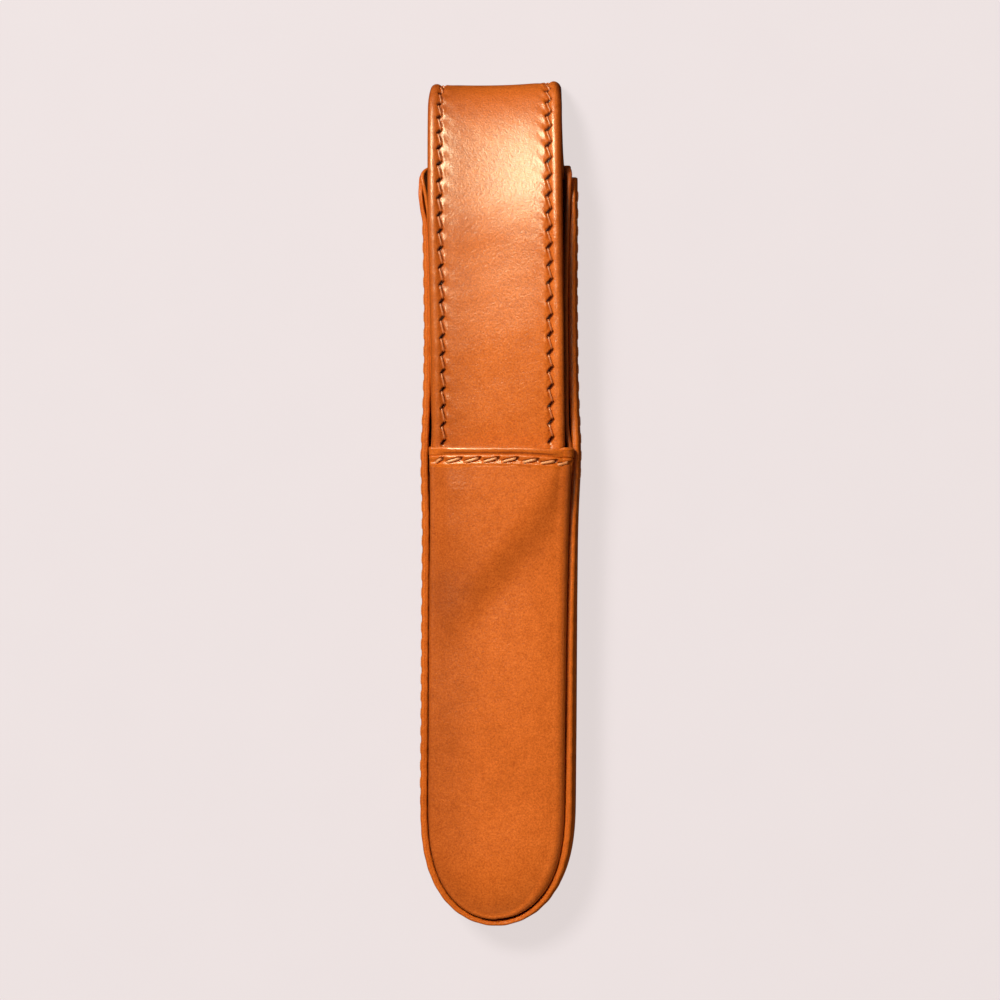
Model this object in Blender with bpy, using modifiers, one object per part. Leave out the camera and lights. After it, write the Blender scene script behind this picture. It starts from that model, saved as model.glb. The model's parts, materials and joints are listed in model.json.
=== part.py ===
"""Leather case for one fountain pen, lying on its back.

Frame: metres, +Z up. The case lies on its back panel, its length along Y with the fold of the
flap at +Y and the rounded toe at -Y. X is the width. The origin is under the middle of the case,
on the surface that the back panel rests on.

How it is made: a moulded back shell (a shallow tray), and a moulded front shell whose side walls
nest inside the tray's walls and run on upwards as two side wings. A strap grows out of the back
panel, folds over the open top, lies along the front and ends in a tongue tucked into the mouth.
The leather bends, so the strap is cut across its width at the lines it bends about.
All the sizes below are millimetres; MM turns them into metres.
"""

import math

import bmesh
import bpy
import numpy as np
from mathutils import Matrix, Vector

MM = 0.001

# ---------------------------------------------------------------- driving dimensions (mm)
TOE_Y = -84.3            # outer end of the rounded toe
TOE_LENGTH = 26.0        # length over which the toe narrows
TOE_POWER = 2.8          # fullness of the toe's curve
BODY_HALF_WIDTH = 15.35  # outer half-width of the tray
MOUTH_SWELL = 0.45       # how much the tray swells at the mouth, where the tongue is inside
WAIST = 0.22             # how much it draws in above the mouth
MOUTH_Y = 11.25          # front edge of the mouth binding
FRONT_END_Y = 10.3       # cut edge of the front shell inside the binding
WING_TOP_Y = 67.4        # top of the front shell's side wings
RIM_TOP_Y = 65.2         # top of the tray's side walls
SHOULDER_Y = 64.6        # where the back panel narrows to the strap

LEATHER_BACK = 1.1       # tray and strap leather
LEATHER_FRONT = 0.9      # front shell leather
BOARD = 0.4
LINING = 0.4
GAP = 0.25               # clearance between layers
BASE_RADIUS = 4.0        # outer corner between the tray's back and its walls
RIM_Z = 12.6             # height of the tray's wall
WING_Z = 13.2            # height of the side wings
WALL_LOW_Z = 4.0         # lower edge of the front shell's walls
FRONT_Z = 18.4           # crown of the front panel
FRONT_MOUTH_Z = 19.3     # crown of the front panel over the tongue
CROWN = 0.8              # fall of the front panel from its middle to its rounded edge
EDGE_RADIUS = 2.5        # rounded edge of the front panel
NEST = 0.6               # groove between the tray's wall and the front shell's wall

STRAP_HALF_WIDTH = 13.35
FOLD_HALF_WIDTH = 13.1
MOUTH_HALF_WIDTH = 12.0  # the strap draws in to pass between the mouth's sides
STRAP_LAYERS = {"leather": (0.0, 1.1), "board": (1.35, 1.65), "lining": (1.9, 2.4)}
STRAP_LEAN = 1.1         # the strap sits this far left of the middle at the fold
CORNER_RADIUS = 3.0      # tight bend where the strap leaves the back
FOLD_END_Y = 84.3        # the fold's furthest reach
FOLD_DEPTH = 34.0        # the long bend's half-axis along Y
FLAP_Z = 19.3            # top of the flap
FLAP_MOUTH_Z = 16.9      # the flap's surface where it goes into the mouth
TONGUE_TIP_Y = -7.0
STITCH_INSET = 2.2       # stitch line in from the strap's edge
THREAD_RADIUS = 0.2
THREAD_GAP = 0.12

LEATHER_TAN = (0.52, 0.125, 0.018)
LEATHER_EDGE = (0.42, 0.095, 0.014)
LINING_TAN = (0.55, 0.30, 0.14)
BOARD_GREY = (0.30, 0.24, 0.18)
THREAD_TAN = (0.66, 0.22, 0.05)

PART = bpy.data.collections.new("fountain_pen_case")


def clear_scene():
    for obj in list(bpy.data.objects):
        bpy.data.objects.remove(obj, do_unlink=True)
    bpy.context.scene.collection.children.link(PART)


def material(name, colour, roughness, metallic=0.0):
    mat = bpy.data.materials.new(name)
    mat.use_nodes = True
    bsdf = mat.node_tree.nodes["Principled BSDF"]
    bsdf.inputs["Base Color"].default_value = (*colour, 1.0)
    bsdf.inputs["Roughness"].default_value = roughness
    bsdf.inputs["Metallic"].default_value = metallic
    return mat


# ---------------------------------------------------------------- outline of the case
def smooth(t):
    t = min(max(t, 0.0), 1.0)
    return t * t * (3.0 - 2.0 * t)


def straight_half_width(y):
    return (
        BODY_HALF_WIDTH
        + MOUTH_SWELL * math.exp(-(((y - 9.0) / 9.0) ** 2))
        - WAIST * math.exp(-(((y - 38.0) / 16.0) ** 2))
    )


def outline(side, k, inset, stations, top_y):
    """Point k of the outline, inset from the tray's outer face. side is -1 left, +1 right.
    Stations run from the open top down the straight side and round the toe to its middle."""
    straight, arc = stations
    start = TOE_Y + TOE_LENGTH
    if k <= straight:
        y = top_y + (start - top_y) * k / straight
        return side * (straight_half_width(y) - inset), y
    angle = math.pi / 2 * (k - straight) / arc
    reach = math.sin(angle) ** (2.0 / TOE_POWER)
    x = (straight_half_width(start) - inset) * math.cos(angle)
    # the groove is a little narrower at the toe, and the lining stops a little short of it
    toe_inset = inset - 0.45 * min(inset / 1.7, 1.0) + 0.9 * max(0.0, inset - 1.7)
    return side * x, start - (TOE_LENGTH - toe_inset) * reach


def toe_share(y):
    return min(max((TOE_Y + TOE_LENGTH - y) / TOE_LENGTH, 0.0), 1.0)


SPINE_END_Y = -68.0


def spine_of(x, y):
    """Where a section starting at outline point (x, y) meets the middle line."""
    return 0.0, max(y, SPINE_END_Y)


def grid_sheet(name, columns, rows, place, outward, mat, thickness, collection=PART):
    """A grid primitive laid onto a surface by place(column, row), thickened away from outward."""
    bm = bmesh.new()
    bmesh.ops.create_grid(bm, x_segments=columns, y_segments=rows, size=1.0)
    for v in bm.verts:
        c = round((v.co.x + 1) / 2 * columns)
        r = round((v.co.y + 1) / 2 * rows)
        v.co = Vector(place(c, r)) * MM
    bmesh.ops.remove_doubles(bm, verts=bm.verts, dist=1e-6)
    bmesh.ops.dissolve_degenerate(bm, edges=bm.edges, dist=1e-7)
    return sheet_object(name, bm, outward, mat, thickness, collection)


def sheet_object(name, bm, outward, mat, thickness, collection=PART):
    bmesh.ops.recalc_face_normals(bm, faces=bm.faces)
    bm.normal_update()
    score = sum(f.normal.dot(outward(f.calc_center_median() / MM)) * f.calc_area() for f in bm.faces)
    if score < 0:
        bmesh.ops.reverse_faces(bm, faces=bm.faces)
    mesh = bpy.data.meshes.new(name)
    bm.to_mesh(mesh)
    bm.free()
    mesh.materials.append(mat)
    mesh.shade_smooth()
    mesh.set_sharp_from_angle(angle=math.radians(40))
    obj = bpy.data.objects.new(name, mesh)
    collection.objects.link(obj)
    solid = obj.modifiers.new("thickness", "SOLIDIFY")
    solid.thickness = thickness * MM
    solid.offset = -1.0
    solid.use_even_offset = True
    return obj


def from_axis(point):
    """Away from the pen's axis, which runs along Y at half the case's height."""
    return Vector((point.x, 0.0, point.z - 9.0)).normalized()


# ---------------------------------------------------------------- the tray
TRAY_STATIONS = (15, 10)


def tray_rim(y):
    z = RIM_Z - 3.0 * toe_share(y) ** 2
    drop = max(0.0, y - (RIM_TOP_Y - 3.0)) / 3.0
    return z - 3.5 * (1.0 - math.sqrt(max(0.0, 1.0 - min(drop, 1.0) ** 2)))


def tray_section(x, y, inset=0.0):
    """Rim to middle line: (distance inwards, height)."""
    radius = BASE_RADIUS - inset
    rim = tray_rim(y)
    cx, cy = spine_of(x, y)
    run = math.hypot(cx - x, cy - y)
    points = [(0.0, rim), (0.0, (rim + BASE_RADIUS) / 2)]
    for n in range(5):
        a = math.pi / 2 * n / 4
        points.append((radius * (1 - math.cos(a)), BASE_RADIUS - radius * math.sin(a)))
    points += [((radius + run) / 2, inset), (run, inset)]
    return points


def both_sides(stations):
    """Left open end, round the toe, to the right open end."""
    count = stations[0] + stations[1]
    return [(-1, k) for k in range(count + 1)] + [(1, k) for k in range(count - 1, -1, -1)]


def make_tray(mat):
    order = both_sides(TRAY_STATIONS)

    def place(c, r):
        side, k = order[c]
        x, y = outline(side, k, 0.0, TRAY_STATIONS, RIM_TOP_Y)
        cx, cy = spine_of(x, y)
        run = math.hypot(cx - x, cy - y)
        d, z = tray_section(x, y)[r]
        return x + (cx - x) * d / run, y + (cy - y) * d / run, z

    rows = len(tray_section(-15.0, 0.0)) - 1
    tray = grid_sheet("back_shell", len(order) - 1, rows, place, from_axis, mat, LEATHER_BACK)
    neck = strap_layer("neck_blank", "leather", NECK_START, AT["corner"] - HALF_CUT, mat, 10, ease=2.5)
    join = tray.modifiers.new("neck", "BOOLEAN")
    join.operation = "UNION"
    join.object = neck
    return tray, neck


def plate(name, half_width, y_top, inset, z_low, z_high, mat, neck_half=0.0, neck_top=0.0, lean=0.0):
    """A flat panel with the toe's outline: a filled 2D curve, extruded by half its thickness."""
    curve = bpy.data.curves.new(name, "CURVE")
    curve.dimensions = "2D"
    curve.fill_mode = "BOTH"
    curve.extrude = (z_high - z_low) / 2 * MM
    stations = (8, 8)
    count = stations[0] + stations[1]
    left = [outline(-1, k, inset, stations, y_top) for k in range(count + 1)]
    right = [(-x, y) for x, y in reversed(left[:-1])]
    ring = left + right
    if neck_half:
        ring += [(neck_half + lean, y_top + 0.5), (neck_half + lean, neck_top), (-neck_half + lean, neck_top), (-neck_half + lean, y_top + 0.5)]
    spline = curve.splines.new("POLY")
    spline.points.add(len(ring) - 1)
    for p, (x, y) in zip(spline.points, ring):
        p.co = (x * MM, y * MM, 0.0, 1.0)
    spline.use_cyclic_u = True
    curve.materials.append(mat)
    obj = bpy.data.objects.new(name, curve)
    obj.location = (0.0, 0.0, (z_low + z_high) / 2 * MM)
    PART.objects.link(obj)
    return obj


# ---------------------------------------------------------------- the front shell
FRONT_STATIONS = (11, 10)


def front_inset(y):
    """How far the front shell's outer face lies in from the tray's."""
    return LEATHER_BACK + NEST - 0.25 * smooth((y - MOUTH_Y) / 20.0)


def crown_z(y):
    bulge = math.exp(-(((y - 6.0) / 14.0) ** 2))
    z = FRONT_Z + (FRONT_MOUTH_Z - FRONT_Z) * bulge
    return z - 1.2 * smooth((-40.0 - y) / 28.0)


def edge_z(y):
    """Height where the panel's crown meets its rounded edge."""
    return crown_z(max(y, SPINE_END_Y)) - CROWN - 2.6 * toe_share(y) ** 2


END_WALL_TOP = crown_z(FRONT_END_Y) - CROWN - EDGE_RADIUS
WALL_ROWS = (0.0, 0.5, (WING_Z - WALL_LOW_Z) / (END_WALL_TOP - WALL_LOW_Z), 1.0)


def front_section(x, y, inset=0.0, low=WALL_LOW_Z, wall_rows=WALL_ROWS):
    """Middle line to the wall's lower edge: (distance inwards from the outline, height)."""
    radius = EDGE_RADIUS - inset
    cx, cy = spine_of(x, y)
    run = math.hypot(cx - x, cy - y)
    top, edge = crown_z(cy) - inset, edge_z(y) - inset
    points = []
    for f in (0.0, 0.3, 0.55, 0.78, 1.0):
        points.append((run - (run - radius) * f, top - (top - edge) * f**2.2))
    for n in range(1, 5):
        a = math.pi / 2 * n / 4
        points.append((radius * (1 - math.sin(a)), edge - radius * (1 - math.cos(a))))
    wall_top = edge - radius
    for f in reversed(wall_rows[:-1]):
        points.append((0.0, low + (wall_top - low) * f))
    return points


def front_place(stations, inset, top_y, low):
    order = both_sides(stations)

    def place(c, r):
        side, k = order[c]
        x, y = outline(side, k, LEATHER_BACK + NEST + inset, stations, top_y)
        cx, cy = spine_of(x, y)
        run = math.hypot(cx - x, cy - y)
        d, z = front_section(x, y, inset, low)[r]
        return x + (cx - x) * d / run, y + (cy - y) * d / run, z

    return order, place


def make_front_shell(mat):
    order, place = front_place(FRONT_STATIONS, 0.0, FRONT_END_Y, WALL_LOW_Z)
    rows = len(front_section(-13.0, 0.0)) - 1
    bm = bmesh.new()
    bmesh.ops.create_grid(bm, x_segments=len(order) - 1, y_segments=rows, size=1.0)
    for v in bm.verts:
        c = round((v.co.x + 1) / 2 * (len(order) - 1))
        r = round((v.co.y + 1) / 2 * rows)
        v.co = Vector(place(c, r)) * MM
    # the wings: each wall runs on past the mouth up to the open top
    reach = 14
    for side in (-1, 1):
        wing = bmesh.new()
        bmesh.ops.create_grid(wing, x_segments=reach, y_segments=2, size=1.0)
        for v in wing.verts:
            c = round((v.co.x + 1) / 2 * reach)
            r = round((v.co.y + 1) / 2 * 2)
            t = c / reach
            y = FRONT_END_Y + (WING_TOP_Y - FRONT_END_Y) * (1 - (1 - t) ** 1.35)
            x = side * (straight_half_width(y) - front_inset(y))
            drop = max(0.0, y - (WING_TOP_Y - 5.0)) / 5.0
            top = WING_Z - 4.5 * (1.0 - math.sqrt(max(0.0, 1.0 - min(drop, 1.0) ** 2)))
            v.co = Vector((x, y, WALL_LOW_Z + (top - WALL_LOW_Z) * (0.0, WALL_ROWS[1] / WALL_ROWS[2], 1.0)[r])) * MM
        mesh = bpy.data.meshes.new("wing")
        wing.to_mesh(mesh)
        wing.free()
        bm.from_mesh(mesh)
        bpy.data.meshes.remove(mesh)
    bmesh.ops.remove_doubles(bm, verts=bm.verts, dist=1e-6)
    bmesh.ops.dissolve_degenerate(bm, edges=bm.edges, dist=1e-7)
    return sheet_object("front_shell", bm, from_axis, mat, LEATHER_FRONT)


def make_front_lining(mat):
    inset = LEATHER_FRONT + GAP
    order, place = front_place((9, 8), inset, 6.4, WALL_LOW_Z + 1.0)
    rows = len(front_section(-13.0, 0.0)) - 1
    return grid_sheet("front_lining", len(order) - 1, rows, place, from_axis, mat, LINING)


def mouth_arch(offset, f):
    """The front panel's section at the mouth, offset outwards, f from 0 (left) to 1 (right).
    Returns (x, z)."""
    y = FRONT_END_Y
    half = straight_half_width(y) - LEATHER_BACK - NEST
    top, edge = crown_z(y), crown_z(y) - CROWN
    flat = half - EDGE_RADIUS
    low = 0.7  # the binding reaches this far down the wall
    arc = EDGE_RADIUS * math.pi / 2
    total = 2 * (flat + arc + low)
    s = (f - 0.5) * total
    side, s = (1 if s >= 0 else -1), abs(s)
    if s <= flat:
        share = s / flat
        slope = 2.2 * CROWN / flat * share**1.2
        n = Vector((slope, 1.0)).normalized()
        x, z = s, top - CROWN * share**2.2
    elif s <= flat + arc:
        a = (s - flat) / EDGE_RADIUS
        n = Vector((math.sin(a), math.cos(a)))
        x, z = flat + EDGE_RADIUS * math.sin(a), edge - EDGE_RADIUS * (1 - math.cos(a))
    else:
        n = Vector((1.0, 0.0))
        x, z = half, edge - EDGE_RADIUS - (s - flat - arc)
    return side * (x + n.x * offset), z + n.y * offset


def make_binding(mat):
    """A strip folded over the mouth's edge: outside leg, rounded edge, inside leg."""
    out, inn = GAP + 0.55, -(LEATHER_FRONT + GAP + 0.5)
    profile = [
        (MOUTH_Y - 3.3, out), (MOUTH_Y - 1.7, out), (MOUTH_Y - 0.6, out + 0.05),
        (MOUTH_Y - 0.12, out - 0.35), (MOUTH_Y, (out + inn) / 2), (MOUTH_Y - 0.12, inn + 0.35),
        (MOUTH_Y - 0.6, inn), (MOUTH_Y - 2.6, inn),
    ]
    arch = 34

    def place(c, r):
        y, offset = profile[r]
        x, z = mouth_arch(offset, c / arch)
        return x, y, z

    def outward(point):
        return Vector((0.0, 1.0, 0.0)) if point.y > MOUTH_Y - 0.4 else Vector((0, 0, 1.0)) if point.z > 17.8 else Vector((0, 0, 0))

    return grid_sheet("mouth_binding", arch, len(profile) - 1, place, outward, mat, 0.5)


# ---------------------------------------------------------------- the strap
def strap_path():
    """The strap's outer face from the back, over the fold, to the tongue's tip: points (y, z),
    finely spaced, with the distance along them and the places of the bend lines."""
    pts, marks = [], {}

    def add(y, z):
        pts.append((y, z))

    for n in range(24):
        add(56.0 + (FOLD_END_Y - CORNER_RADIUS - 56.0) * n / 24, 0.0)
    cy, cz = FOLD_END_Y - CORNER_RADIUS, CORNER_RADIUS
    for n in range(24):
        a = -math.pi / 2 + math.pi / 2 * n / 24
        if n == 12:
            marks["corner"] = len(pts)
        add(cy + CORNER_RADIUS * math.cos(a), cz + CORNER_RADIUS * math.sin(a))
    ey = FOLD_END_Y - FOLD_DEPTH
    for n in range(90):
        a = math.radians(n)
        if n == 16:
            marks["lower"] = len(pts)
        if n == 52:
            marks["upper"] = len(pts)
        add(ey + FOLD_DEPTH * math.cos(a), cz + (FLAP_Z - cz) * math.sin(a))
    run = ey - MOUTH_Y
    for n in range(80):
        y = ey - run * n / 80
        add(y, FLAP_Z - (FLAP_Z - FLAP_MOUTH_Z) * ((ey - y) / run) ** 2.2)
    marks["mouth"] = len(pts)
    for n in range(41):
        y = MOUTH_Y - (MOUTH_Y - TONGUE_TIP_Y) * n / 40
        add(y, FLAP_MOUTH_Z - 1.1 * (1 - math.exp(-(MOUTH_Y - y) / 10.0)))
    p = np.array(pts)
    along = np.concatenate([[0.0], np.cumsum(np.linalg.norm(np.diff(p, axis=0), axis=1))])
    return p, along, {k: along[i] for k, i in marks.items()}


PATH, ALONG, AT = strap_path()
HALF_CUT = 0.2       # half the cut between two lengths of the strap
NECK_START = ALONG[0] + 1.0
TIP = ALONG[-1]


def strap_at(s):
    """(y, z) on the outer face and the unit normal pointing out of the strap."""
    y, z = np.interp(s, ALONG, PATH[:, 0]), np.interp(s, ALONG, PATH[:, 1])
    d = 0.4
    a = np.array([np.interp(s - d, ALONG, PATH[:, 0]), np.interp(s - d, ALONG, PATH[:, 1])])
    b = np.array([np.interp(s + d, ALONG, PATH[:, 0]), np.interp(s + d, ALONG, PATH[:, 1])])
    t = (b - a) / np.linalg.norm(b - a)
    return (float(y), float(z)), (float(t[1]), float(-t[0]))


def strap_half(s):
    """Half-width of the strap: a little narrower over the fold, tapering to a rounded tongue."""
    fold = smooth((s - AT["upper"]) / 12.0)
    half = FOLD_HALF_WIDTH + (STRAP_HALF_WIDTH - FOLD_HALF_WIDTH) * fold
    half -= (STRAP_HALF_WIDTH - MOUTH_HALF_WIDTH) * smooth((s - AT["mouth"] + 9.0) / 9.0)
    if s > AT["mouth"]:
        t = (s - AT["mouth"]) / (TIP - AT["mouth"])
        half = MOUTH_HALF_WIDTH - 1.0 * smooth(t * 1.3)
        corner = 5.0
        left = TIP - s
        if left < corner:
            half -= corner - math.sqrt(max(0.0, corner**2 - (corner - left) ** 2))
    return half


def strap_centre(s):
    """Sideways place of the strap's middle: it leans left at the fold and comes back to the mouth."""
    return -STRAP_LEAN + 1.1 * smooth((s - AT["upper"] - 10.0) / (AT["mouth"] - AT["upper"] - 10.0))


def strap_crown(s, share):
    """How far the strap's face falls towards its edges, share from -1 to 1."""
    height = 0.5 * smooth((s - AT["upper"]) / 15.0)
    if s > AT["mouth"] - 8.0:
        height += 0.35 * smooth((s - AT["mouth"] + 8.0) / 8.0)
    return height * abs(share) ** 2.2


def strap_point(s, share, depth, half=None):
    (y, z), (ny, nz) = strap_at(s)
    fall = strap_crown(s, share) + depth
    x = strap_centre(s) + share * (strap_half(s) if half is None else half)
    return x, y - ny * fall, z - nz * fall


def strap_layer(name, layer, s0, s1, mat, steps, inset=0.0, across=6, ease=1.0):
    """One layer of a length of the strap, from s0 to s1 along it. ease over 1 crowds the rows
    towards s1."""
    top, bottom = STRAP_LAYERS[layer]

    def place(c, r):
        s = s1 - (s1 - s0) * (1 - r / steps) ** ease
        share = (c / across) * 2 - 1
        return strap_point(s, share, top, strap_half(s) - inset)

    middle = strap_point((s0 + s1) / 2, 0.0, 0.0)
    _, (ny, nz) = strap_at((s0 + s1) / 2)

    def outward(point):
        return Vector((0.0, ny, nz))

    return grid_sheet(name, across, steps, place, outward, mat, bottom - top)


def thread(name, points, mat):
    """A run of sewing thread: a poly curve with a round bevel and filled ends."""
    curve = bpy.data.curves.new(name, "CURVE")
    curve.dimensions = "3D"
    curve.bevel_depth = THREAD_RADIUS * MM
    curve.bevel_resolution = 1
    curve.use_fill_caps = True
    spline = curve.splines.new("POLY")
    spline.points.add(len(points) - 1)
    for p, co in zip(spline.points, points):
        p.co = (*(Vector(co) * MM), 1.0)
    curve.materials.append(mat)
    obj = bpy.data.objects.new(name, curve)
    PART.objects.link(obj)
    return obj


def strap_thread(name, side, s0, s1, mat, pitch=3.5):
    count = max(2, round((s1 - s0) / pitch) + 1)
    points = []
    for n in range(count):
        s = s0 + (s1 - s0) * n / (count - 1)
        half = strap_half(s)
        share = side * (half - STITCH_INSET) / half
        points.append(strap_point(s, share, -(THREAD_GAP + THREAD_RADIUS)))
    return thread(name, points, mat)


def side_thread(mat):
    """The seam round the case, on the outside of the tray's wall, half way up it."""
    stations = (26, 12)
    points = []
    for side, k in both_sides(stations):
        x, y = outline(side, k, -(THREAD_GAP + THREAD_RADIUS), stations, RIM_TOP_Y - 1.6)
        points.append((x, y, 8.2 - 1.8 * toe_share(y) ** 2))
    return thread("side_seam_thread", points, mat)


def mouth_thread(mat):
    points = []
    for n in range(25):
        x, z = mouth_arch(GAP + 0.55 + THREAD_GAP + THREAD_RADIUS + 0.02, 0.03 + 0.94 * n / 24)
        points.append((x, MOUTH_Y - 2.75, z))
    return thread("mouth_thread", points, mat)


# ---------------------------------------------------------------- bend lines
def bend_line(name, mark, parent, children):
    """An empty on the line that a length of the strap bends about, with what moves parented to
    it. The line runs along X on the strap's outer face, so the cut opens as the strap unfolds."""
    (y, z), _ = strap_at(AT[mark])
    axis = bpy.data.objects.new(name, None)
    axis.empty_display_type = "ARROWS"
    axis.empty_display_size = 0.01
    place = Vector((0.0, y, z)) * MM
    axis.location = place - (parent["place"] if parent else Vector((0, 0, 0)))
    axis.parent = parent["empty"] if parent else None
    PART.objects.link(axis)
    for obj in children:
        obj.parent = axis
        obj.matrix_parent_inverse = Matrix.Translation(-place)
    return {"empty": axis, "place": place}


# ---------------------------------------------------------------- build
def main():
    clear_scene()
    tan = material("tan_leather", LEATHER_TAN, 0.38)
    edge = material("tan_leather_binding", LEATHER_EDGE, 0.42)
    lining = material("lining_leather", LINING_TAN, 0.85)
    board = material("fibre_board", BOARD_GREY, 0.9)
    yarn = material("waxed_thread", THREAD_TAN, 0.55)

    tray, neck_blank = make_tray(tan)
    neck_blank.hide_render = True
    neck_blank.display_type = "WIRE"
    cutters = bpy.data.collections.new("joining_blanks")
    bpy.context.scene.collection.children.link(cutters)
    PART.objects.unlink(neck_blank)
    cutters.objects.link(neck_blank)

    low = LEATHER_BACK + GAP
    plate("back_board", 0, 63.0, BASE_RADIUS + 0.35, low, low + BOARD, board)
    neck_y = strap_at(AT["corner"] - 3.2)[0][0]
    plate("back_lining", 0, 62.5, BASE_RADIUS + 0.1, low + BOARD + GAP, low + BOARD + GAP + LINING, lining,
          neck_half=12.1, neck_top=neck_y, lean=-STRAP_LEAN)

    make_front_shell(tan)
    make_front_lining(lining)
    make_binding(edge)
    side_thread(yarn)
    mouth_thread(yarn)

    corner, lower, upper, mouth = AT["corner"], AT["lower"], AT["upper"], AT["mouth"]
    first = [
        strap_layer("fold_lower_leather", "leather", corner + HALF_CUT, lower - HALF_CUT, tan, 6),
        strap_layer("fold_lower_lining", "lining", corner + 2.6, lower - HALF_CUT, lining, 3, inset=0.5, across=4),
    ]
    second = [
        strap_layer("fold_upper_leather", "leather", lower + HALF_CUT, upper - HALF_CUT, tan, 8),
        strap_layer("fold_upper_lining", "lining", lower + HALF_CUT, upper - HALF_CUT, lining, 6, inset=0.5, across=4),
    ]
    third = [
        strap_layer("flap_leather", "leather", upper + HALF_CUT, mouth - 0.4, tan, 18),
        strap_layer("flap_board", "board", upper + 4.0, mouth - 2.5, board, 12, inset=1.2, across=4),
        strap_layer("flap_lining", "lining", upper + HALF_CUT, mouth - 0.4, lining, 14, inset=0.5, across=4),
        strap_layer("tongue_leather", "leather", mouth - 0.1, TIP, tan, 12),
        strap_layer("tongue_lining", "lining", mouth - 0.1, TIP - 0.6, lining, 10, inset=0.5, across=4),
    ]
    for side, word in ((-1, "left"), (1, "right")):
        first.append(strap_thread(f"fold_lower_thread_{word}", side, corner + 0.9, lower - 0.5, yarn, 2.0))
        second.append(strap_thread(f"fold_upper_thread_{word}", side, lower + 0.5, upper - 0.5, yarn, 2.6))
        third.append(strap_thread(f"flap_thread_{word}", side, upper + 0.5, mouth - 1.2, yarn))
    lower_line = bend_line("back_fold_axis", "corner", None, first)
    middle_line = bend_line("crown_fold_axis", "lower", lower_line, second)
    bend_line("flap_fold_axis", "upper", middle_line, third)


main()
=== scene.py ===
"""Looks of the fountain pen case: moulded leather shells, turned strap, stitching and lining."""

import json
import math

import bpy
import numpy as np
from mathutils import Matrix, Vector

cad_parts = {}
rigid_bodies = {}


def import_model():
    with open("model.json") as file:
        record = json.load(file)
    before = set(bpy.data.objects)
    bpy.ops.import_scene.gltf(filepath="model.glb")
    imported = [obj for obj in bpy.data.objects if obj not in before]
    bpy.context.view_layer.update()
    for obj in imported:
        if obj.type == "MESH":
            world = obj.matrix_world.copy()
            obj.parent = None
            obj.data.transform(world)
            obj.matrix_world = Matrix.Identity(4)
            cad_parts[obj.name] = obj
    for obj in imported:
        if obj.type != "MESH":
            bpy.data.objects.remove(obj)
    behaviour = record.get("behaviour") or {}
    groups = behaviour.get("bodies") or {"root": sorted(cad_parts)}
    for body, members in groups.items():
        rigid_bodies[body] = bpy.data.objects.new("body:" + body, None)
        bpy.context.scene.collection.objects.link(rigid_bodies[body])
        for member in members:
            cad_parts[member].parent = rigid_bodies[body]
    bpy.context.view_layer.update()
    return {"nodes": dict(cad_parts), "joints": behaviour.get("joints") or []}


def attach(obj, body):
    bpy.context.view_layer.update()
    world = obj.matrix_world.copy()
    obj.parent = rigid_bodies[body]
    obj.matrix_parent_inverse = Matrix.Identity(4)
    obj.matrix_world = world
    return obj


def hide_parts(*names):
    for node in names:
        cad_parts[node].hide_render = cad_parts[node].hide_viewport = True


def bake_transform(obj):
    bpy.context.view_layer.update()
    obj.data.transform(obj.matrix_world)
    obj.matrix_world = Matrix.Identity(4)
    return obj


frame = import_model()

MM = 0.001

# ---------------------------------------------------------------- sizes, mm (the CAD's own)
TOE_Y, TOE_LENGTH, TOE_POWER = -84.3, 26.0, 2.8
BODY_HALF, SWELL, WAIST = 15.35, 0.45, 0.22
MOUTH_Y, FRONT_END_Y = 11.25, 10.3
WING_TOP_Y, RIM_TOP_Y = 67.4, 65.2
RIM_Z, WING_Z, WALL_LOW_Z = 13.5, 13.6, 4.0
FRONT_Z, FRONT_MOUTH_Z, CROWN = 18.4, 19.3, 0.8
SPINE_END_Y = -68.0
CORNER_R, FOLD_END_Y, FOLD_DEPTH = 3.0, 84.55, 34.0
FLAP_Z, FLAP_MOUTH_Z, TIP_Y = 19.3, 16.9, -7.0
PITCH = 3.5
SEAM_PITCH = 3.45


def sm(t):
    t = np.clip(t, 0.0, 1.0)
    return t * t * (3 - 2 * t)


def gauss(v, c, w):
    return np.exp(-(((v - c) / w) ** 2))


def hash_wave(v, seed):
    """A smooth, repeatable wander between about -1 and 1."""
    return (
        np.sin(v * 0.37 + seed * 1.7)
        + 0.6 * np.sin(v * 0.91 + seed * 4.1)
        + 0.35 * np.sin(v * 2.13 + seed * 7.3)
    ) / 1.95


# ---------------------------------------------------------------- mesh helpers
def make_object(name, verts, faces, mat, tone=None, sharp=45.0):
    mesh = bpy.data.meshes.new(name)
    mesh.from_pydata((np.asarray(verts) * MM).tolist(), [], faces)
    if tone is not None:
        attr = mesh.attributes.new("tone", "FLOAT", "POINT")
        attr.data.foreach_set("value", np.asarray(tone, np.float32))
    mesh.validate()
    mesh.update()
    mesh.shade_smooth()
    mesh.set_sharp_from_angle(angle=math.radians(sharp))
    mesh.materials.append(mat)
    obj = bpy.data.objects.new(name, mesh)
    bpy.context.scene.collection.objects.link(obj)
    return obj


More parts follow.
